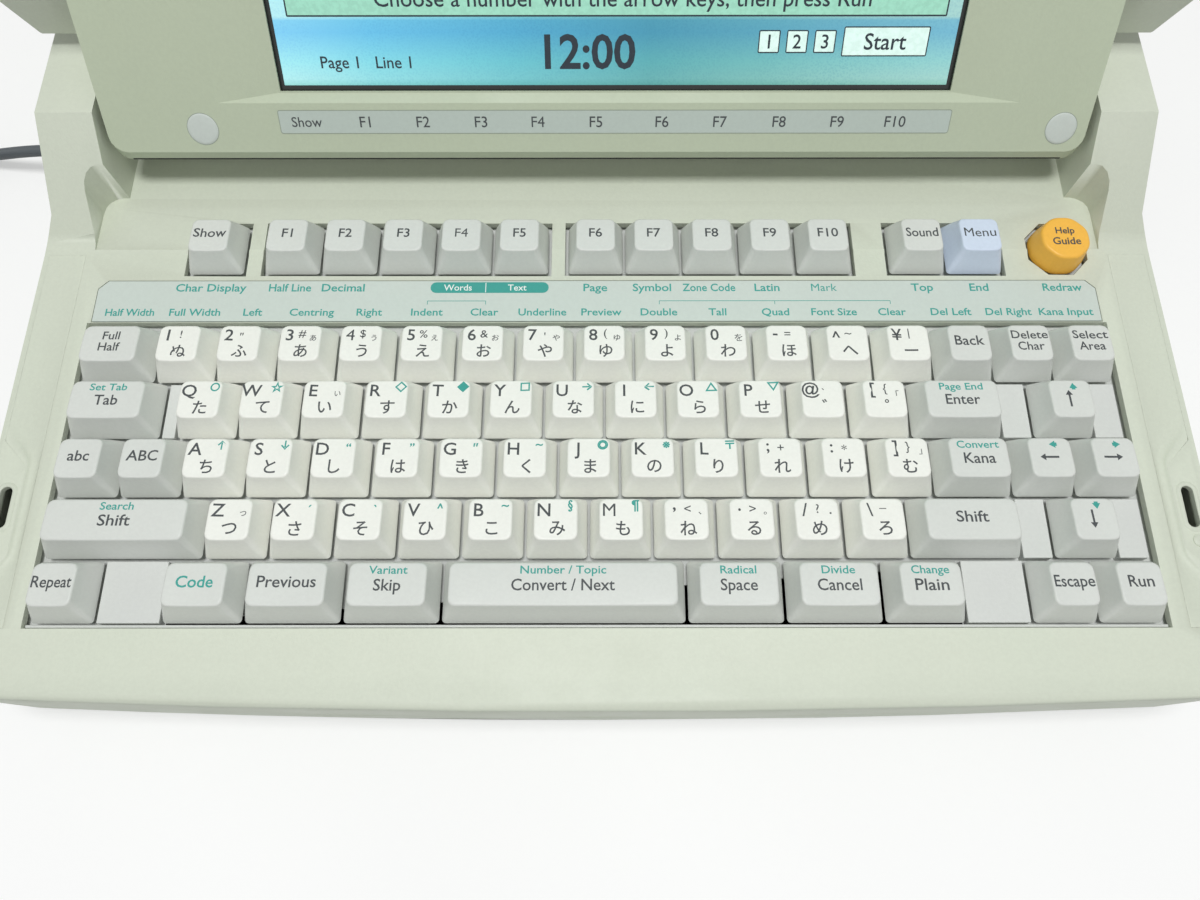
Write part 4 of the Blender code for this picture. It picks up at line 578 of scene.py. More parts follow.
class Lettering:
    """Gathers texts of one colour on one body into one piece."""

    def __init__(self, name, material, body, surface):
        self.name, self.material, self.body, self.surface = name, material, body, surface
        self.bm = bmesh.new()

    def text(self, text, x, y, height, weight=0.0, centred=False, width=None, align=0.5):
        """Sets a text about x, y. centred puts the middle of its own shape at y, as for a single sign."""
        points, faces = glyph(text, weight)
        if not points:
            return
        scale = height / CAPS
        low, high = min(p[0] for p in points), max(p[0] for p in points)
        stretch = 1.0
        if width:
            stretch = min(1.12, max(0.62, width / ((high - low) * scale)))
        middle = CAPS / 2
        if centred:
            middle = (min(p[1] for p in points) + max(p[1] for p in points)) / 2
        anchor = low + (high - low) * align
        verts = []
        for px, py, pz in points:
            across = x + (px - anchor) * scale * stretch
            along = y + (py - middle) * scale
            verts.append(self.bm.verts.new(self.surface(across, along, INK if pz > 0 else -INK)))
        for face in faces:
            if len(set(face)) > 2:
                try:
                    self.bm.faces.new([verts[i] for i in face])
                except ValueError:
                    continue

    def arrow(self, x, y, size, turn, stem, head):
        """A printed arrow of one length, turned by a number of quarter turns from pointing right."""
        half, wing, barb = size / 2, head / 2, head * 0.75
        outline = [
            (-half, -stem / 2), (half - barb, -stem / 2), (half - barb, -wing), (half, 0.0),
            (half - barb, wing), (half - barb, stem / 2), (-half, stem / 2),
        ]
        cosine, sine = round(math.cos(turn * math.pi / 2)), round(math.sin(turn * math.pi / 2))
        places = [(x + px * cosine - py * sine, y + px * sine + py * cosine) for px, py in outline]
        add_loft(self.bm, [[self.surface(px, py, lift) for px, py in places] for lift in (-INK, INK)])

    def bar(self, x0, x1, y0, y1, radius=0.0001, steps=(6, 2)):
        """A printed bar or patch with round corners."""
        low = rounded_ring(x0, x1, y0, y1, radius, -INK, *steps)
        high = rounded_ring(x0, x1, y0, y1, radius, INK, *steps)
        add_loft(self.bm, [[self.surface(*p) for p in low], [self.surface(*p) for p in high]])

    def outline(self, x0, x1, y0, y1, radius, line):
        """A printed outline: a closed ring with round corners."""
        rings = [
            rounded_ring(x0, x1, y0, y1, radius, -INK), rounded_ring(x0, x1, y0, y1, radius, INK),
            rounded_ring(x0 + line, x1 - line, y0 + line, y1 - line, radius - line, INK),
            rounded_ring(x0 + line, x1 - line, y0 + line, y1 - line, radius - line, -INK),
        ]
        rows = [[self.bm.verts.new(self.surface(*p)) for p in ring] for ring in rings]
        count = len(rows[0])
        for k in range(4):
            first, second = rows[k], rows[(k + 1) % 4]
            for i in range(count):
                j = (i + 1) % count
                self.bm.faces.new((first[i], first[j], second[j], second[i]))

    def done(self):
        if len(self.bm.verts) == 0:
            self.bm.free()
            return None
        return add_piece(self.name, self.bm, self.material, self.body, (), 30.0)


# Keys

KEY_PITCH = 19.05 * MM
KEY_GAP = 0.85 * MM
KEY_Z = 44.0 * MM
KEY_TOP_Z = 53.5 * MM
FIELD_LEFT = -164.30625 * MM
KEYS_Y = -148.85 * MM
FUNCTION_Y = -33.15 * MM
SIDE_INSET, REAR_INSET, FRONT_INSET = 2.9 * MM, 2.4 * MM, 3.6 * MM
TOP_FALL = 0.8 * MM
BASE_CORNER, TOP_CORNER = 1.2 * MM, 2.2 * MM
FILLET = 0.8 * MM
STEM_LENGTH = 12.0 * MM

ROWS = [
    [(1.25, "width_key")] + [(1.0, "white_keys_row_1")] * 13 + [(1.0, "edit_keys")] * 3,
    [(1.5, "tab_key"), (0.25, None)] + [(1.0, "white_keys_row_2")] * 12
    + [(1.5, "return_key"), (0.5, None), (1.0, "arrow_up_key"), (0.5, None)],
    [(1.0, "case_keys")] * 2 + [(1.0, "white_keys_row_3")] * 12
    + [(1.25, "kana_key"), (1.0, "arrow_left_key"), (1.0, "arrow_right_key")],
    [(2.5, "shift_key_left")] + [(1.0, "white_keys_row_4")] * 11
    + [(1.75, "shift_key_right"), (0.5, None), (1.0, "arrow_down_key"), (0.5, None)],
    [(1.0, "repeat_key"), (1.0, None), (1.25, "code_key"), (1.5, "candidate_keys"), (1.5, "candidate_keys"),
     (3.75, "convert_key"), (1.5, "space_key"), (1.5, "cancel_keys"), (1.25, "cancel_keys"), (1.0, None),
     (1.0, "run_keys"), (1.0, "run_keys")],
]
FUNCTION_ROW = [
    (-7.16, 1, "display_key"), (-5.83, 5, "function_keys_left"), (-0.52, 5, "function_keys_right"),
    (5.10, 1, "dictionary_key"), (6.10, 1, "menu_key"),
]


def key_cells():
    """Every key by node as (x, y, width), in order from left to right."""
    cells = {}
    for row, keys in enumerate(ROWS):
        x = FIELD_LEFT
        y = KEYS_Y + (4 - row) * KEY_PITCH
        for share, node in keys:
            if node:
                cells.setdefault(node, []).append((x, y, share * KEY_PITCH))
            x += share * KEY_PITCH
    for left, count, node in FUNCTION_ROW:
        for i in range(count):
            cells.setdefault(node, []).append(((left + i) * KEY_PITCH, FUNCTION_Y, KEY_PITCH))
    return cells


def dish_depth(width):
    return 0.45 * MM if width < 1.6 * KEY_PITCH else 0.32 * MM


def dish(x, centre, half, depth):
    """How far a key's top lies under its sides: a shallow trough that runs front to rear."""
    share = min(abs(x - centre) / half, 1.0)
    return depth * (1.0 - share * share)


def fall(y, low, high):
    """How far a key's top slopes down to its rear edge."""
    share = min(max((y - low) / (high - low), 0.0), 1.0)
    return TOP_FALL * share * share


def top_area(x, y, width):
    edge = KEY_GAP / 2
    return (
        x + edge + SIDE_INSET, x + width - edge - SIDE_INSET,
        y + edge + FRONT_INSET, y + KEY_PITCH - edge - REAR_INSET,
    )


def add_cap(bm, x, y, width):
    """One keycap: slanted sides that roll into a dished top, and its stem."""
    edge = KEY_GAP / 2
    base = (x + edge, x + width - edge, y + edge, y + KEY_PITCH - edge)
    top = top_area(x, y, width)
    centre, half = x + width / 2, (top[1] - top[0]) / 2
    depth = dish_depth(width)
    steps_x = 8 if width < 1.6 * KEY_PITCH else 14

    def wall(share):
        box = [b + (t - b) * share for b, t in zip(base, top)]
        return box, BASE_CORNER + (TOP_CORNER - BASE_CORNER) * share

    height = KEY_TOP_Z - KEY_Z
    rings = []
    for share in (0.0, 0.06, 0.5):
        box, corner = wall(share)
        rings.append(rounded_ring(*box, corner, KEY_Z + height * share, steps_x, 4, 4))
    start = 1.0 - FILLET / height
    box, corner = wall(start)
    for k in range(6):
        angle = math.pi / 2 * k / 5
        inset = FILLET * (1 - math.cos(angle))
        z = KEY_TOP_Z - FILLET + FILLET * math.sin(angle)
        ring = rounded_ring(
            box[0] + inset, box[1] - inset, box[2] + inset, box[3] - inset, corner - inset * 0.6, z, steps_x, 4, 4
        )
        rings.append([
            (px, py, pz - dish(px, centre, half, depth) * (k / 5) - fall(py, top[2], top[3])) for px, py, pz in ring
        ])
    inner = rings[-1]
    middle_y = (box[2] + box[3]) / 2
    for share in (0.82, 0.6, 0.38, 0.16):
        ring = []
        for px, py, _ in inner:
            qx, qy = centre + (px - centre) * share, middle_y + (py - middle_y) * share
            ring.append((qx, qy, KEY_TOP_Z - dish(qx, centre, half, depth) - fall(qy, top[2], top[3])))
        rings.append(ring)
    rows = add_loft(bm, rings, None, True, False)
    tip = bm.verts.new((centre, middle_y, KEY_TOP_Z - depth - fall(middle_y, top[2], top[3])))
    count = len(rows[-1])
    for i in range(count):
        bm.faces.new((rows[-1][i], rows[-1][(i + 1) % count], tip))
    cx, cy, reach = x + width / 2, y + KEY_PITCH / 2, 2.5 * MM
    stem = [
        rounded_ring(cx - reach, cx + reach, cy - reach, cy + reach, 0.5 * MM, z, 1, 1, 2)
        for z in (KEY_Z - STEM_LENGTH, KEY_Z + 0.4 * MM)
    ]
    add_loft(bm, stem)


def key_surface(x, y, width):
    top = top_area(x, y, width)
    centre, half = x + width / 2, (top[1] - top[0]) / 2
    depth = dish_depth(width)
    return lambda px, py, lift: (
        px, py, KEY_TOP_Z - dish(px, centre, half, depth) - fall(py, top[2], top[3]) + lift
    )


CELLS = key_cells()


def key_material(node):
    return nodes[node].data.materials[0].name.split(".")[0]


def build_caps():
    for node, cells in CELLS.items():
        bm = bmesh.new()
        for x, y, width in cells:
            add_cap(bm, x, y, width)
        material = key_material(node)
        add_piece(node + "_caps", bm, MATERIALS[material], body_of(node), [node], 40.0)


GUIDE_X, GUIDE_Y = 154.305 * MM, FUNCTION_Y + KEY_PITCH / 2


GUIDE_TOP_Z = 52.0 * MM


def octagon(radius, z, corner=0.36):
    """An octagon with round corners."""
    points = []
    for k in range(8):
        angle = math.pi / 8 + k * math.pi / 4
        before = Vector((math.cos(angle - math.pi / 4), math.sin(angle - math.pi / 4)))
        here = Vector((math.cos(angle), math.sin(angle)))
        after = Vector((math.cos(angle + math.pi / 4), math.sin(angle + math.pi / 4)))
        start, end = here.lerp(before, corner), here.lerp(after, corner)
        for i in range(5):
            t = i / 4
            p = start * (1 - t) ** 2 + here * 2 * t * (1 - t) + end * t ** 2
            points.append((GUIDE_X + p.x * radius, GUIDE_Y + p.y * radius, z))
    return points


def build_guide_key():
    bm = bmesh.new()
    base, top = 9.9 * MM, 8.3 * MM
    height = GUIDE_TOP_Z - KEY_Z
    rings = [octagon(base, KEY_Z), octagon(base - 0.1 * MM, KEY_Z + 0.8 * MM)]
    start = 1.0 - 1.1 * MM / height
    wall = base + (top - base) * start
    for k in range(6):
        angle = math.pi / 2 * k / 5
        rings.append(octagon(wall - 1.1 * MM * (1 - math.cos(angle)), GUIDE_TOP_Z - 1.1 * MM * (1 - math.sin(angle))))
    reach = wall - 1.1 * MM
    for share in (0.8, 0.5, 0.2):
        rings.append(octagon(reach * share, GUIDE_TOP_Z - 0.15 * MM * (1 - share * share)))
    add_loft(bm, rings)
    stem = [
        rounded_ring(GUIDE_X - 0.0025, GUIDE_X + 0.0025, GUIDE_Y - 0.0025, GUIDE_Y + 0.0025, 0.0005, z, 1, 1, 2)
        for z in (KEY_Z - STEM_LENGTH, KEY_Z + 0.4 * MM)
    ]
    add_loft(bm, stem)
    add_piece(
        "guide_key_cap", bm, MATERIALS["orange_key_plastic"], body_of("guide_key"),
        ["guide_key"], 40.0,
    )


# Legends of the white keys: letter, kana, second sign, small kana
WHITE_LEGENDS = {
    "white_keys_row_1": [
        ("1", "ぬ", "!", ""), ("2", "ふ", "\"", ""), ("3", "あ", "#", "ぁ"), ("4", "う", "$", "ぅ"),
        ("5", "え", "%", "ぇ"), ("6", "お", "&", "ぉ"), ("7", "や", "'", "ゃ"), ("8", "ゆ", "(", "ゅ"),
        ("9", "よ", ")", "ょ"), ("0", "わ", "", "を"), ("-", "ほ", "=", ""), ("^", "へ", "~", ""), ("¥", "ー", "|", ""),
    ],
    "white_keys_row_2": [
        ("Q", "た", "", ""), ("W", "て", "", ""), ("E", "い", "", "ぃ"), ("R", "す", "", ""), ("T", "か", "", ""),
        ("Y", "ん", "", ""), ("U", "な", "", ""), ("I", "に", "", ""), ("O", "ら", "", ""), ("P", "せ", "", ""),
        ("@", "゛", "`", ""), ("[", "゜", "{", "「"),
    ],
    "white_keys_row_3": [
        ("A", "ち", "", ""), ("S", "と", "", ""), ("D", "し", "", ""), ("F", "は", "", ""), ("G", "き", "", ""),
        ("H", "く", "", ""), ("J", "ま", "", ""), ("K", "の", "", ""), ("L", "り", "", ""), (";", "れ", "+", ""),
        (":", "け", "*", ""), ("]", "む", "}", "」"),
    ],
    "white_keys_row_4": [
        ("Z", "つ", "", "っ"), ("X", "さ", "", ""), ("C", "そ", "", ""), ("V", "ひ", "", ""), ("B", "こ", "", ""),
        ("N", "み", "", ""), ("M", "も", "", ""), (",", "ね", "<", "、"), (".", "る", ">", "。"),
        ("/", "め", "?", "・"), ("\\", "ろ", "_", ""),
    ],
}
TEAL_MARKS = {
    "white_keys_row_2": ["○", "☆", "", "◇", "◆", "□", "→", "←", "△", "▽", "", ""],
    "white_keys_row_3": ["↑", "↓", "“", "”", "″", "~", "◎", "※", "〒", "", "", ""],
    "white_keys_row_4": ["", "´", "`", "^", "~", "§", "¶", "", "", "", ""],
}
# Legends of the other keys: lines of dark words, and a small teal word above
GREY_LEGENDS = {
    "width_key": [(["Full", "Half"], "")],
    "edit_keys": [(["Back"], ""), (["Delete", "Char"], ""), (["Select", "Area"], "")],
    "tab_key": [(["Tab"], "Set Tab")],
    "return_key": [(["Enter"], "Page End")],
    "case_keys": [(["abc"], ""), (["ABC"], "")],
    "kana_key": [(["Kana"], "Convert")],
    "shift_key_left": [(["Shift"], "Search")],
    "shift_key_right": [(["Shift"], "")],
    "repeat_key": [(["Repeat"], "")],
    "code_key": [(["Code"], "")],
    "candidate_keys": [(["Previous"], ""), (["Skip"], "Variant")],
    "convert_key": [(["Convert / Next"], "Number / Topic")],
    "space_key": [(["Space"], "Radical")],
    "cancel_keys": [(["Cancel"], "Divide"), (["Plain"], "Change")],
    "run_keys": [(["Escape"], ""), (["Run"], "")],
    "display_key": [(["Show"], "")],
    "function_keys_left": [(["F%d" % i], "") for i in range(1, 6)],
    "function_keys_right": [(["F%d" % i], "") for i in range(6, 11)],
    "dictionary_key": [(["Sound"], "")],
    "menu_key": [(["Menu"], "")],
}
ARROW_TURNS = {"arrow_right_key": 0, "arrow_up_key": 1, "arrow_left_key": 2, "arrow_down_key": 3}


def build_legends():
    for node, cells in CELLS.items():
        dark = Lettering("legend_dark." + node, INK_DARK, body_of(node), None)
        teal = Lettering("legend_teal." + node, INK_TEAL, body_of(node), None)
        for i, (x, y, width) in enumerate(cells):
            surface = key_surface(x, y, width)
            dark.surface = teal.surface = surface
            x0, x1, y0, y1 = top_area(x, y, width)
            w, d = x1 - x0, y1 - y0
            if node in WHITE_LEGENDS:
                main, kana, second, small = WHITE_LEGENDS[node][i]
                dark.text(main, x0 + 0.22 * w, y1 - 0.27 * d, 3.9 * MM, 0.010, not main.isalnum())
                if second:
                    dark.text(second, x0 + 0.53 * w, y1 - 0.24 * d, 2.7 * MM, 0.004, True)
                small_kana = 2.1 * MM if node == "white_keys_row_1" else 1.9 * MM
                if small:
                    dark.text(small, x0 + 0.82 * w, y1 - 0.36 * d, small_kana, 0.002, True)
                dark.text(kana, x0 + 0.54 * w, y1 - 0.73 * d, 3.5 * MM, 0.010, kana not in "゛゜")
                if node in TEAL_MARKS and TEAL_MARKS[node][i]:
                    teal.text(TEAL_MARKS[node][i], x0 + 0.84 * w, y1 - 0.17 * d, 2.6 * MM, 0.02, True)
            elif node in ARROW_TURNS:
                turn = ARROW_TURNS[node]
                dark.arrow(x0 + 0.46 * w, y1 - 0.50 * d, 5.6 * MM, turn, 0.62 * MM, 2.2 * MM)
                teal.arrow(x0 + 0.60 * w, y1 - 0.16 * d, 2.3 * MM, turn, 1.1 * MM, 2.4 * MM)
            else:
                lines, above = GREY_LEGENDS[node][i]
                writer = teal if node == "code_key" else dark
                height = 3.3 * MM if len(lines) == 1 else 2.8 * MM
                if node == "code_key":
                    height = 3.3 * MM
                middle = y1 - (0.44 if not above else 0.52) * d
                for k, line in enumerate(lines):
                    drop = (k - (len(lines) - 1) / 2) * 4.0 * MM
                    wide = None
                    if len(line) > 4:
                        wide = min(w * 0.92, len(line) * 2.1 * MM)
                    weight = 0.014 if node == "code_key" else 0.010
                    writer.text(line, x0 + 0.5 * w, middle - drop, height, weight, False, wide)
                if above:
                    teal.text(above, x0 + 0.5 * w, y1 - 0.16 * d, 2.3 * MM, 0.012, False, min(w, len(above) * 1.8 * MM))
        dark.done()
        teal.done()
    guide = Lettering(
        "legend_dark.guide_key", INK_DARK, body_of("guide_key"),
        lambda px, py, lift: (px, py, GUIDE_TOP_Z - 0.06 * MM + lift),
    )
    guide.text("Help", GUIDE_X, GUIDE_Y + 2.6 * MM, 2.3 * MM, 0.012)
    guide.text("Guide", GUIDE_X, GUIDE_Y - 1.4 * MM, 2.6 * MM, 0.012)
    guide.done()


build_caps()
build_guide_key()
build_legends()


# Label plate between the keys and the function row

PLATE_Z = 44.95 * MM
LABELS_UPPER = [
    (-140.4, -114.3, "Char Display"), (-108.4, -94.2, "Half Line"), (-91.5, -76.0, "Decimal"), (-6.9, 5.9, "Page"),
    (11.6, 24.8, "Symbol"), (28.1, 45.9, "Zone Code"), (51.9, 60.5, "Latin"), (70.7, 79.3, "Mark"),
    (103.1, 111.7, "Top"), (121.9, 130.5, "End"), (147.1, 160.3, "Redraw"),
]
LABELS_LOWER = [
    (-160.8, -144.5, "Half Width"), (-139.9, -122.9, "Full Width"), (-118.0, -106.9, "Left"),
    (-103.6, -82.7, "Centring"), (-80.1, -68.6, "Right"), (-64.4, -46.7, "Indent"), (-43.1, -30.4, "Clear"),
    (-25.8, -9.8, "Underline"), (-7.2, 10.2, "Preview"), (14.1, 26.5, "Double"), (33.1, 45.8, "Tall"),
    (53.0, 63.8, "Quad"), (68.4, 86.7, "Font Size"), (89.3, 103.7, "Clear"), (108.2, 123.3, "Del Left"),
    (126.9, 142.2, "Del Right"), (144.2, 162.5, "Kana Input"),
]


def build_label_print():
    body = body_of("label_plate")

    def surface(px, py, lift):
        return (px, py, PLATE_Z + lift)

    teal = Lettering("label_print", INK_TEAL, body, surface)
    for row, y, height in ((LABELS_UPPER, -38.3, 2.7), (LABELS_LOWER, -47.4, 2.5)):
        for start, end, word in row:
            teal.text(
                word, (start + end) / 2 * MM, y * MM, height * MM, 0.014, False, (end - start) * MM * 0.98
            )
    teal.bar(-54.9 * MM, -15.9 * MM, -40.3 * MM, -36.3 * MM, 1.9 * MM)
    for start, end in ((-55.7, -36.4), (20.4, 96.4)):
        teal.bar(start * MM, end * MM, -43.4 * MM, -43.2 * MM)
        teal.bar(start * MM, (start + 0.2) * MM, -44.6 * MM, -43.35 * MM, 0.00005, (1, 2))
        teal.bar((end - 0.2) * MM, end * MM, -44.6 * MM, -43.35 * MM, 0.00005, (1, 2))
    teal.bar(58.3 * MM, 58.5 * MM, -44.6 * MM, -43.35 * MM, 0.00005, (1, 2))
    teal.done()
    white = Lettering("label_print_white", INK_WHITE, body, lambda px, py, lift: (px, py, PLATE_Z + INK + lift))
    white.text("Words", -45.9 * MM, -38.3 * MM, 2.2 * MM, 0.008)
    white.text("Text", -26.3 * MM, -38.3 * MM, 2.2 * MM, 0.008)
    white.bar(-36.8 * MM, -36.55 * MM, -40.1 * MM, -36.5 * MM, 0.00005, (1, 2))
    white.done()


build_label_print()


# Case shells and smaller carried-over forms with rounded edges

for node, width, segments in (
    ("upper_case", 0.9 * MM, 3), ("lower_case", 0.8 * MM, 2), ("lid_cover", 0.8 * MM, 3),
    ("printer_cover", 0.7 * MM, 3), ("disk_drive", 0.4 * MM, 2), ("key_frame", 0.3 * MM, 2),
    ("eject_button", 0.4 * MM, 2), ("print_head", 0.5 * MM, 2),
    ("latch_hook_left", 0.35 * MM, 2), ("latch_hook_right", 0.35 * MM, 2), ("power_supply", 0.8 * MM, 2),
):
    rounded_copy(node, width, segments)


# Lid: bezel, screen and their details, in the lid's own axes

HINGE = Vector((0.0, 22.35 * MM, 69.6 * MM))
LID = Matrix.Translation(HINGE) @ Matrix.Rotation(math.radians(55.0), 4, "X")
BEZEL_TOP = 12.8 * MM
SCREEN_TOP = 10.1 * MM


def lid_surface(height):
    return lambda px, py, lift: tuple(LID @ Vector((px, py, height + lift)))


def carve(item, cutter_bm):
    """Cuts a closed form out of a piece with an exact boolean, and keeps the result as its mesh."""
    mesh = bpy.data.meshes.new("cutter")
    bmesh.ops.recalc_face_normals(cutter_bm, faces=cutter_bm.faces)
    cutter_bm.to_mesh(mesh)
    cutter_bm.free()
    cutter = bpy.data.objects.new("cutter", mesh)
    scene.collection.objects.link(cutter)
    modifier = item.modifiers.new("cut", "BOOLEAN")
    modifier.operation = "DIFFERENCE"
    modifier.solver = "EXACT"
    modifier.object = cutter
    graph = bpy.context.evaluated_depsgraph_get()
    result = bpy.data.meshes.new_from_object(item.evaluated_get(graph))
    item.modifiers.remove(modifier)
    item.data = result
    bpy.data.objects.remove(cutter)


def build_bezel():
    """The lid's inner face with the shallow recess round the screen."""
    bm = bmesh.new()
    bm.from_mesh(nodes["lid_bezel"].data)
    bmesh.ops.remove_doubles(bm, verts=bm.verts, dist=0.00001)
    item = add_piece(
        "bezel_face", bm, MATERIALS["bezel_plastic"], body_of("lid_bezel"), ["lid_bezel"], 25.0
    )
    outer = (-120.7 * MM, 134.3 * MM, -2.0 * MM, 164.4 * MM)
    inner = (-101.2 * MM, 113.2 * MM, 0.7 * MM, 160.7 * MM)
    above = 1.0 * MM
    grown = [o + (o - i) * above / (1.7 * MM) for o, i in zip(outer, inner)]
    cutter = bmesh.new()
    rings = []
    for (x0, x1, y0, y1), z in ((inner, BEZEL_TOP - 1.7 * MM), (grown, BEZEL_TOP + above)):
        rings.append([(x0, y0, z), (x1, y0, z), (x1, y1, z), (x0, y1, z)])
    add_loft(cutter, rings, LID)
    carve(item, cutter)
    mesh = item.data
    mesh.polygons.foreach_set("use_smooth", [True] * len(mesh.polygons))
    mesh.set_sharp_from_angle(angle=math.radians(3.0))
    return item


# Section and stations of a dark strip on the neck's chamfer, painted as the deep shadow in the gap between lid and
# deck.
SHADOW_STRIP_SECTION = ((-19.93, 10.84), (-20.43, 10.44), (-20.37, 10.36), (-19.87, 10.76))
SHADOW_STRIP_STATIONS = (-153.2, -80.0, 0.0, 80.0, 153.2)
STRIP_TEXT_Y = -7.8 * MM
STRIP_PLACES = (-74.3, -55.7, -37.1, -18.8, -0.2, 21.0, 39.6, 58.6, 77.2, 95.8)
PLUG_STEPS = 40


def build_bezel_details():
    """A dark strip painted as the shadow in the gap under the neck, the label strip with a darker outline painted as
    the shade in its groove, and the two round plugs with thin rings painted as the shade in their gaps.
    """
    body = body_of("lid_bezel")
    # Dark strip painted as the shadow in the gap under the neck.
    shadow_strip = bmesh.new()
    add_loft(shadow_strip, [[(x * MM, t * MM, n * MM) for t, n in SHADOW_STRIP_SECTION] for x in SHADOW_STRIP_STATIONS], LID)
    add_piece("bezel_painted_shadow_strip", shadow_strip, PAINTED_GAP_SHADOW, body, (), 30.0)
    strip = bmesh.new()
    plate(strip, -101.7 * MM, 113.3 * MM, -11.3 * MM, -4.3 * MM, 0.7 * MM, BEZEL_TOP - 0.1 * MM,
          BEZEL_TOP + 0.06 * MM, 0.0, LID)
    add_piece("bezel_strip", strip, STRIP_FILM, body, (), 30.0)
    # Darker outline painted round the label strip as the shade in its groove.
    edge = Lettering("bezel_strip_painted_shade", PAINTED_GROOVE_SHADE, body, lid_surface(BEZEL_TOP + 0.05 * MM))
    edge.outline(-101.9 * MM, 113.5 * MM, -11.5 * MM, -4.1 * MM, 0.8 * MM, 0.22 * MM)
    edge.done()
    dark = Lettering("bezel_print", INK_DARK, body, lid_surface(BEZEL_TOP + 0.07 * MM))
    dark.text("Show", -93.0 * MM, STRIP_TEXT_Y, 3.0 * MM, 0.004)
    for i, x in enumerate(STRIP_PLACES):
        dark.text("F%d" % (i + 1), x * MM, STRIP_TEXT_Y, 3.3 * MM, 0.004)
    dark.done()
    for name, x in (("bezel_plug_left", -126.9), ("bezel_plug_right", 149.7)):
        bm = bmesh.new()
        place = LID @ Matrix.Translation((x * MM, -10.0 * MM, BEZEL_TOP))
        turned(bm, [
            (0.2 * MM, -1.0 * MM), (4.9 * MM, -1.0 * MM), (4.9 * MM, 0.05 * MM), (4.7 * MM, 0.18 * MM),
            (4.2 * MM, 0.26 * MM), (2.5 * MM, 0.32 * MM), (0.2 * MM, 0.34 * MM),
        ], place, PLUG_STEPS)
        add_piece(name, bm, PLUG_PLASTIC, body, (), 40.0)
        # Thin darker ring painted round the plug as the shade in the gap of its bore.
        bm = bmesh.new()
        rings = []
        for r, h in ((4.9, -0.2), (5.1, -0.2), (5.1, 0.01), (5.06, 0.04), (4.96, 0.04), (4.9, 0.01)):
            turns = [2 * math.pi * i / PLUG_STEPS for i in range(PLUG_STEPS)]
            rings.append([(r * MM * math.cos(a), r * MM * math.sin(a), h * MM) for a in turns])
        rows = [[bm.verts.new(place @ Vector(p)) for p in ring] for ring in rings]
        for k, first in enumerate(rows):
            second = rows[(k + 1) % len(rows)]
            for i in range(PLUG_STEPS):
                j = (i + 1) % PLUG_STEPS
                bm.faces.new((first[i], first[j], second[j], second[i]))
        add_piece(name + "_ring", bm, PAINTED_GROOVE_SHADE, body, (), 40.0)


SCREEN = (-98.7 * MM, 110.7 * MM, 2.8 * MM, 158.6 * MM)
PANEL = (-94.3 * MM, 106.6 * MM, 22.6 * MM, 150.0 * MM)


def picture_material():
    """Lit liquid crystal: a soft blue and green wash with a fine dither."""
    n = Nodes("screen_picture")
    split = n.add("ShaderNodeSeparateXYZ")
    n.link(n.place, split.inputs["Vector"])
    x_share = n.spread(split.outputs["X"], 0.0, 1.0, SCREEN[0], SCREEN[1])
    low = (LID @ Vector((0.0, SCREEN[2], SCREEN_TOP))).z
    high = (LID @ Vector((0.0, PANEL[2], SCREEN_TOP))).z
    height = n.spread(split.outputs["Z"], 0.0, 1.0, low, high)
    across = n.ramp(x_share, [
        (0.0, linear(186, 232, 238)), (0.14, linear(150, 214, 224)), (0.35, linear(120, 190, 200)),
        (0.55, linear(104, 168, 172)), (0.72, linear(128, 182, 180)), (1.0, linear(168, 206, 202)),
    ])
    upward = n.ramp(height, [
        (0.0, linear(205, 232, 222)), (0.10, linear(236, 250, 246)), (0.35, linear(214, 246, 250)),
        (0.78, linear(168, 216, 250)), (0.95, linear(176, 220, 248)), (1.0, linear(240, 252, 254)),
    ])
    washed = n.mix(1.0, across, upward, "MULTIPLY")
    dots = n.add("ShaderNodeTexVoronoi", feature="F1")
    dots.inputs["Scale"].default_value = 1500.0
    n.link(n.place, dots.inputs["Vector"])
    speckle = n.ramp(dots.outputs["Distance"], [(0.25, (0.80, 0.86, 0.92, 1.0)), (0.6, (1.0, 1.0, 1.0, 1.0))])
    strength = n.spread(n.noise(30.0, 3.0), 0.15, 0.9)
    colour = n.mix(strength, washed, n.mix(1.0, washed, speckle, "MULTIPLY"))
    n.link(colour, n.shader.inputs["Base Color"])
    n.link(colour, n.shader.inputs["Emission Color"])
    n.shader.inputs["Emission Strength"].default_value = 0.32
    n.link(n.spread(n.noise(40.0), 0.2, 0.3), n.shader.inputs["Roughness"])
    return n.material


def lit_material(name, colour, glow):
    n = Nodes(name)
    tint = n.ramp(n.noise(700.0, 2.0), [(0.4, shaded(colour, 0.94)), (0.6, shaded(colour, 1.04))])
    n.link(tint, n.shader.inputs["Base Color"])
    n.link(tint, n.shader.inputs["Emission Color"])
    n.shader.inputs["Emission Strength"].default_value = glow
    n.link(n.spread(n.noise(40.0), 0.2, 0.3), n.shader.inputs["Roughness"])
    return n.material


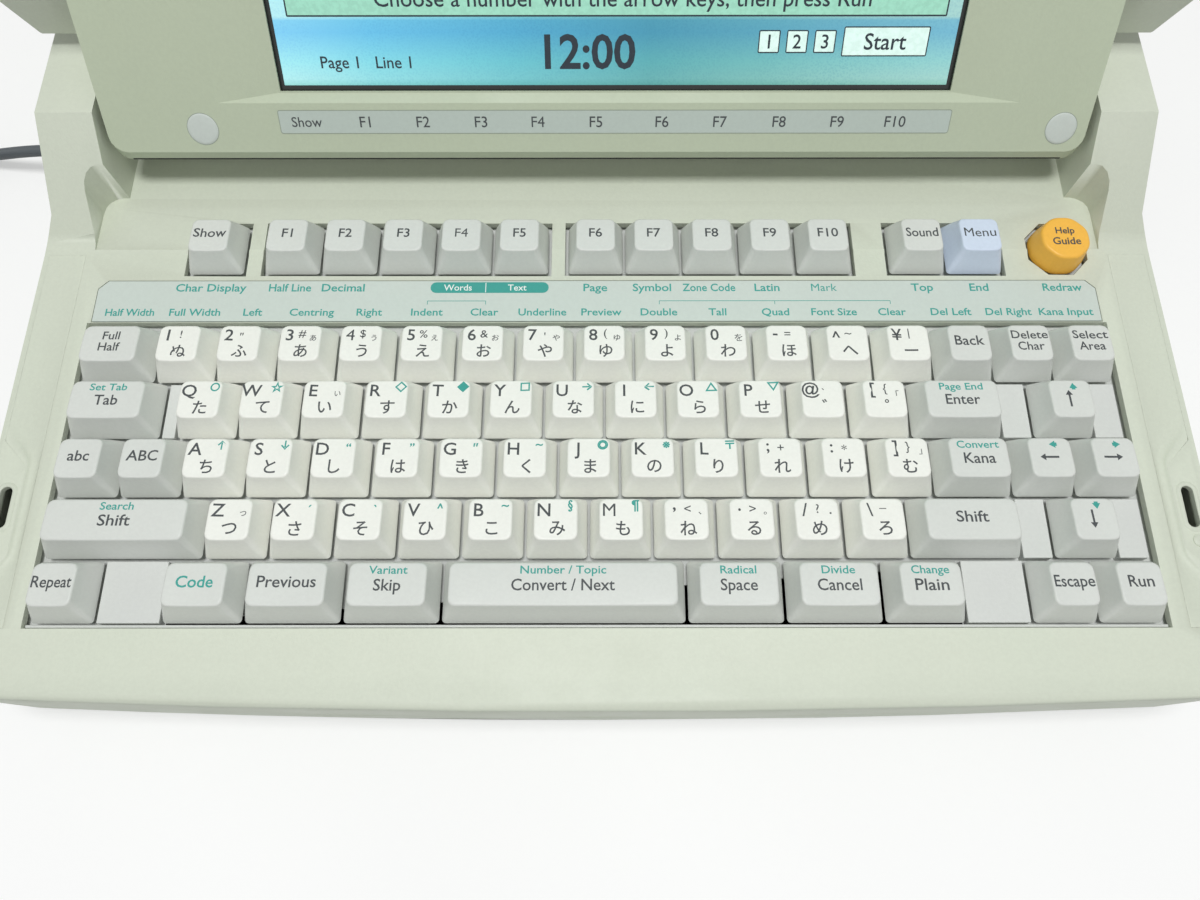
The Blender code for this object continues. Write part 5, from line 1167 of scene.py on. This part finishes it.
def build_screen():
    body = body_of("lcd_screen")
    module = bmesh.new()
    plate(module, -108.0 * MM, 120.0 * MM, -6.6 * MM, 168.0 * MM, 0.8 * MM, SCREEN_TOP - 6.5 * MM, SCREEN_TOP,
          0.2 * MM, LID)
    add_piece(
        "screen_module", module, MATERIALS["screen_glass"], body, ["lcd_screen"], 35.0
    )
    picture = bmesh.new()
    plate(picture, *SCREEN, 0.2 * MM, SCREEN_TOP - 0.05 * MM, SCREEN_TOP + 0.04 * MM, 0.0, LID)
    add_piece("screen_picture", picture, picture_material(), body, (), 35.0)
    pale = lit_material("screen_pale", linear(150, 206, 184), 0.3)
    panel = bmesh.new()
    plate(panel, *PANEL, 0.4 * MM, SCREEN_TOP, SCREEN_TOP + 0.07 * MM, 0.0, LID)
    add_piece("screen_panel", panel, pale, body, (), 35.0)
    light = lit_material("screen_light", linear(214, 240, 232), 0.3)
    dark = lit_material("screen_dark", linear(38, 50, 60), 0.02)
    boxes = Lettering("screen_boxes", light, body, lid_surface(SCREEN_TOP + 0.04 * MM))
    for x0, x1, y0, y1 in ((50.0, 56.6, 12.2, 18.8), (58.6, 65.2, 12.2, 18.8), (67.2, 73.8, 12.2, 18.8),
                           (76.0, 102.5, 11.2, 19.8)):
        boxes.bar(x0 * MM, x1 * MM, y0 * MM, y1 * MM, 0.5 * MM)
    boxes.done()
    lines = Lettering("screen_lines", dark, body, lid_surface(SCREEN_TOP + 0.09 * MM))
    lines.outline(PANEL[0], PANEL[1], PANEL[2], PANEL[3], 0.4 * MM, 0.45 * MM)
    for x0, x1, y0, y1 in ((50.0, 56.6, 12.2, 18.8), (58.6, 65.2, 12.2, 18.8), (67.2, 73.8, 12.2, 18.8),
                           (76.0, 102.5, 11.2, 19.8)):
        lines.outline(x0 * MM, x1 * MM, y0 * MM, y1 * MM, 0.5 * MM, 0.35 * MM)
    lines.done()
    words = Lettering("screen_words", dark, body, lid_surface(SCREEN_TOP + 0.09 * MM))
    words.text("Page 1   Line 1", -72.0 * MM, 9.6 * MM, 3.4 * MM, 0.006)
    words.text("12:00", -2.0 * MM, 12.6 * MM, 9.5 * MM, 0.018)
    for i, x in enumerate((53.3, 61.9, 70.5)):
        words.text(str(i + 1), x * MM, 15.5 * MM, 3.9 * MM, 0.008)
    words.text("Start", 89.2 * MM, 15.5 * MM, 4.6 * MM, 0.008)
    words.text("Choose a number with the arrow keys, then press Run", 8.0 * MM, 27.6 * MM, 4.4 * MM, 0.006,
               False, 150.0 * MM)
    for i, line in enumerate((
        "1   New text", "2   Open a text", "3   Print", "4   Address list", "5   Card file", "6   Settings",
    )):
        words.text(line, -60.0 * MM, (128.0 - 15.0 * i) * MM, 6.0 * MM, 0.006, False, None, 0.0)
    words.done()


build_bezel()
build_bezel_details()
build_screen()


# Deck details

def build_slot_rims():
    for side, name in ((-1, "latch_rim_left"), (1, "latch_rim_right")):
        x, y = side * 179.2 * MM, -113.65 * MM
        bm = bmesh.new()
        sizes = [
            (1.8, 6.45, -1.6), (1.8, 6.45, 0.10), (2.0, 6.65, 0.32), (2.4, 7.0, 0.42), (2.9, 7.5, 0.34),
            (3.3, 7.9, 0.02), (3.3, 7.9, -0.25), (1.99, 6.64, -0.25), (1.99, 6.64, -1.6),
        ]
        rings = []
        for half_x, half_y, z in sizes:
            rings.append([
                (x + px, y + py, (44.8 + z) * MM)
                for px, py, _ in rounded_ring(
                    -half_x * MM, half_x * MM, -half_y * MM, half_y * MM, half_x * 0.96 * MM, 0.0, 2, 4, 6
                )
            ])
        rows = [[bm.verts.new(p) for p in ring] for ring in rings]
        for k, first in enumerate(rows):
            second = rows[(k + 1) % len(rows)]
            for i in range(len(first)):
                j = (i + 1) % len(first)
                bm.faces.new((first[i], first[j], second[j], second[i]))
        add_piece(name, bm, MATERIALS["case_plastic"], body_of("upper_case"), (), 40.0)
    bm = bmesh.new()
    turned(bm, [
        (0.2 * MM, -0.5 * MM), (1.9 * MM, -0.5 * MM), (1.9 * MM, 0.25 * MM), (1.6 * MM, 0.5 * MM),
        (0.9 * MM, 0.58 * MM), (0.2 * MM, 0.6 * MM),
    ], Matrix.Translation((179.6 * MM, -124.2 * MM, 44.8 * MM)), 24)
    add_piece("deck_boss", bm, MATERIALS["case_plastic"], body_of("upper_case"), (), 40.0)


def build_channels():
    """Hollow strips that round out the channels along both sides of the deck."""
    deck = 44.8 * MM
    inner, outer, narrow = 171.26, 183.35, 174.95
    front, rear = -149.9, -25.95

    def edge(y):
        """Outer edge of the CAD channel, which narrows beside the latch boss."""
        if y < -113.65:
            share = (y + 135.0) / 8.4
        else:
            share = (-92.2 - y) / 8.4
        return outer + (narrow - outer) * min(max(share, 0.0), 1.0)

    def hollow(y):
        """Outer edge of the hollow itself: a soft curve inside the channel's edge."""
        share = (y + 140.5) / 13.5 if y < -113.65 else (-86.7 - y) / 13.5
        return min(outer + (narrow - outer) * eased(share), edge(y))

    places = [front + (rear - front) * i / 82 for i in range(83)]
    steps = 12
    for side, name in ((-1, "channel_left"), (1, "channel_right")):
        bm = bmesh.new()
        rings = []
        for y in places:
            depth = min(eased((y - front) / 9.0), eased((rear - y) / 38.0))
            far = hollow(y)
            ring = [(side * (inner + (far - inner) * i / steps) * MM, y * MM,
                     deck - 0.01 * MM - 0.92 * MM * depth * math.sin(math.pi * i / steps) ** 0.8)
                    for i in range(steps + 1)]
            ring += [(side * (edge(y) + 0.01) * MM, y * MM, deck - 0.01 * MM),
                     (side * (edge(y) + 0.01) * MM, y * MM, deck - 1.2 * MM),
                     (side * inner * MM, y * MM, deck - 1.2 * MM)]
            rings.append(ring)
        add_loft(bm, rings)
        add_piece(name, bm, MATERIALS["case_plastic"], body_of("upper_case"), (), 60.0)


def build_wheel():
    """Knurled contrast wheel in its slot."""
    low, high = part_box("contrast_wheel")
    centre = (low + high) / 2
    radius = (high.y - low.y) / 2
    bm = bmesh.new()
    rings = []
    teeth = 40
    for share, z in ((0.30, low.z), (0.93, low.z), (1.0, low.z + 0.0004), (1.0, high.z - 0.0004), (0.93, high.z),
                     (0.30, high.z)):
        ring = []
        for i in range(teeth * 4):
            angle = 2 * math.pi * i / (teeth * 4)
            dip = 0.0004 if (i % 4) in (0, 1) and share > 0.5 else 0.0
            r = radius * share - dip
            ring.append((centre.x + r * math.cos(angle), centre.y + r * math.sin(angle), z))
        rings.append(ring)
    add_loft(bm, rings)
    material = key_material("contrast_wheel")
    add_piece("contrast_knurled", bm, MATERIALS[material], body_of("contrast_wheel"),
              ["contrast_wheel"], 30.0)


def build_switch():
    """Power switch: a rounded rocker with its two marks."""
    item = rounded_copy("power_switch", 0.35 * MM, 3)
    low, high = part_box("power_switch")
    x, z = low.x, (low.z + high.z) / 2
    marks = Lettering(
        "switch_marks", INK_WHITE, body_of("power_switch"),
        lambda px, py, lift: (x - lift * 0.6, -px, py),
    )
    middle = (low.y + high.y) / 2
    marks.text("I", -(middle + 3.6 * MM), z, 2.2 * MM, 0.02, True)
    marks.text("O", -(middle - 3.6 * MM), z, 2.2 * MM, 0.01, True)
    marks.done()
    return item


def build_printer_details():
    """Raised finger ribs on the printer cover."""
    low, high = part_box("printer_cover")
    top = high.z
    bm = bmesh.new()
    for i in range(5):
        y = low.y + (6.0 + 2.2 * i) * MM
        plate(bm, -18.0 * MM, 18.0 * MM, y, y + 1.0 * MM, 0.45 * MM, top - 0.3 * MM, top + 0.35 * MM, 0.25 * MM,
              None, (6, 1))
    add_piece("cover_grip", bm, MATERIALS["case_plastic"], body_of("printer_cover"), (), 40.0)


build_slot_rims()
build_channels()
build_wheel()
build_switch()
build_printer_details()


# Procedural materials on the CAD nodes that stay as they are

for node, item in nodes.items():
    if item.hide_render:
        continue
    for slot in item.material_slots:
        name = slot.material.name.split(".")[0] if slot.material else "dark_plastic"
        slot.material = MATERIALS.get(name, MATERIALS["dark_plastic"])


# Floor, world and lights

FLOOR_SEEN = 0.38
FLOOR_HALF = 3.0
SKY_LIGHT = 0.40
SKY_SEEN = 0.80
KEY_PLACE = (0.0, -0.22, 1.5)
KEY_TARGET = (0.0, -0.08, 0.04)
KEY_SIZE = 0.36
KEY_POWER = 12.6


def build_floor():
    n = Nodes("floor")
    n.link(
        n.ramp(n.noise(5.0, 2.0), [(0.3, (0.60, 0.605, 0.60, 1.0)), (0.7, (0.63, 0.635, 0.63, 1.0))]),
        n.shader.inputs["Base Color"],
    )
    n.shader.inputs["Roughness"].default_value = 0.85
    n.shader.inputs["Specular IOR Level"].default_value = 0.1
    seen = seen_ray(n.tree)
    n.shader.inputs["Emission Color"].default_value = (1.0, 1.0, 1.0, 1.0)
    strength = n.add("ShaderNodeMath", operation="MULTIPLY")
    n.link(seen, strength.inputs[0])
    strength.inputs[1].default_value = FLOOR_SEEN
    n.link(strength.outputs[0], n.shader.inputs["Emission Strength"])
    bm = bmesh.new()
    bmesh.ops.create_grid(bm, x_segments=4, y_segments=4, size=FLOOR_HALF)
    mesh = bpy.data.meshes.new("floor")
    bm.to_mesh(mesh)
    bm.free()
    mesh.materials.append(n.material)
    item = bpy.data.objects.new("floor", mesh)
    scene.collection.objects.link(item)


def seen_ray(tree):
    """One for rays from the camera, and for mirrored and transmitted ones."""
    path = tree.nodes.new("ShaderNodeLightPath")
    seen = path.outputs["Is Camera Ray"]
    for kind in ("Is Glossy Ray", "Is Transmission Ray"):
        either = tree.nodes.new("ShaderNodeMath")
        either.operation = "MAXIMUM"
        tree.links.new(seen, either.inputs[0])
        tree.links.new(path.outputs[kind], either.inputs[1])
        seen = either.outputs[0]
    return seen


def build_world():
    world = bpy.data.worlds.new("studio")
    scene.world = world
    world.use_nodes = True
    tree = world.node_tree
    background = tree.nodes["Background"]
    background.inputs["Color"].default_value = (0.99, 1.0, 1.0, 1.0)
    mix = tree.nodes.new("ShaderNodeMapRange")
    mix.inputs["To Min"].default_value = SKY_LIGHT
    mix.inputs["To Max"].default_value = SKY_SEEN
    tree.links.new(seen_ray(tree), mix.inputs["Value"])
    tree.links.new(mix.outputs["Result"], background.inputs["Strength"])


def add_area(name, place, target, size, power):
    light = bpy.data.lights.new(name, "AREA")
    light.shape = "SQUARE"
    light.size = size
    light.energy = power
    item = bpy.data.objects.new(name, light)
    scene.collection.objects.link(item)
    ahead = Vector(target) - Vector(place)
    item.matrix_world = Matrix.Translation(place) @ ahead.to_track_quat("-Z", "Y").to_matrix().to_4x4()


build_floor()
build_world()
add_area("key_light", KEY_PLACE, KEY_TARGET, KEY_SIZE, KEY_POWER)
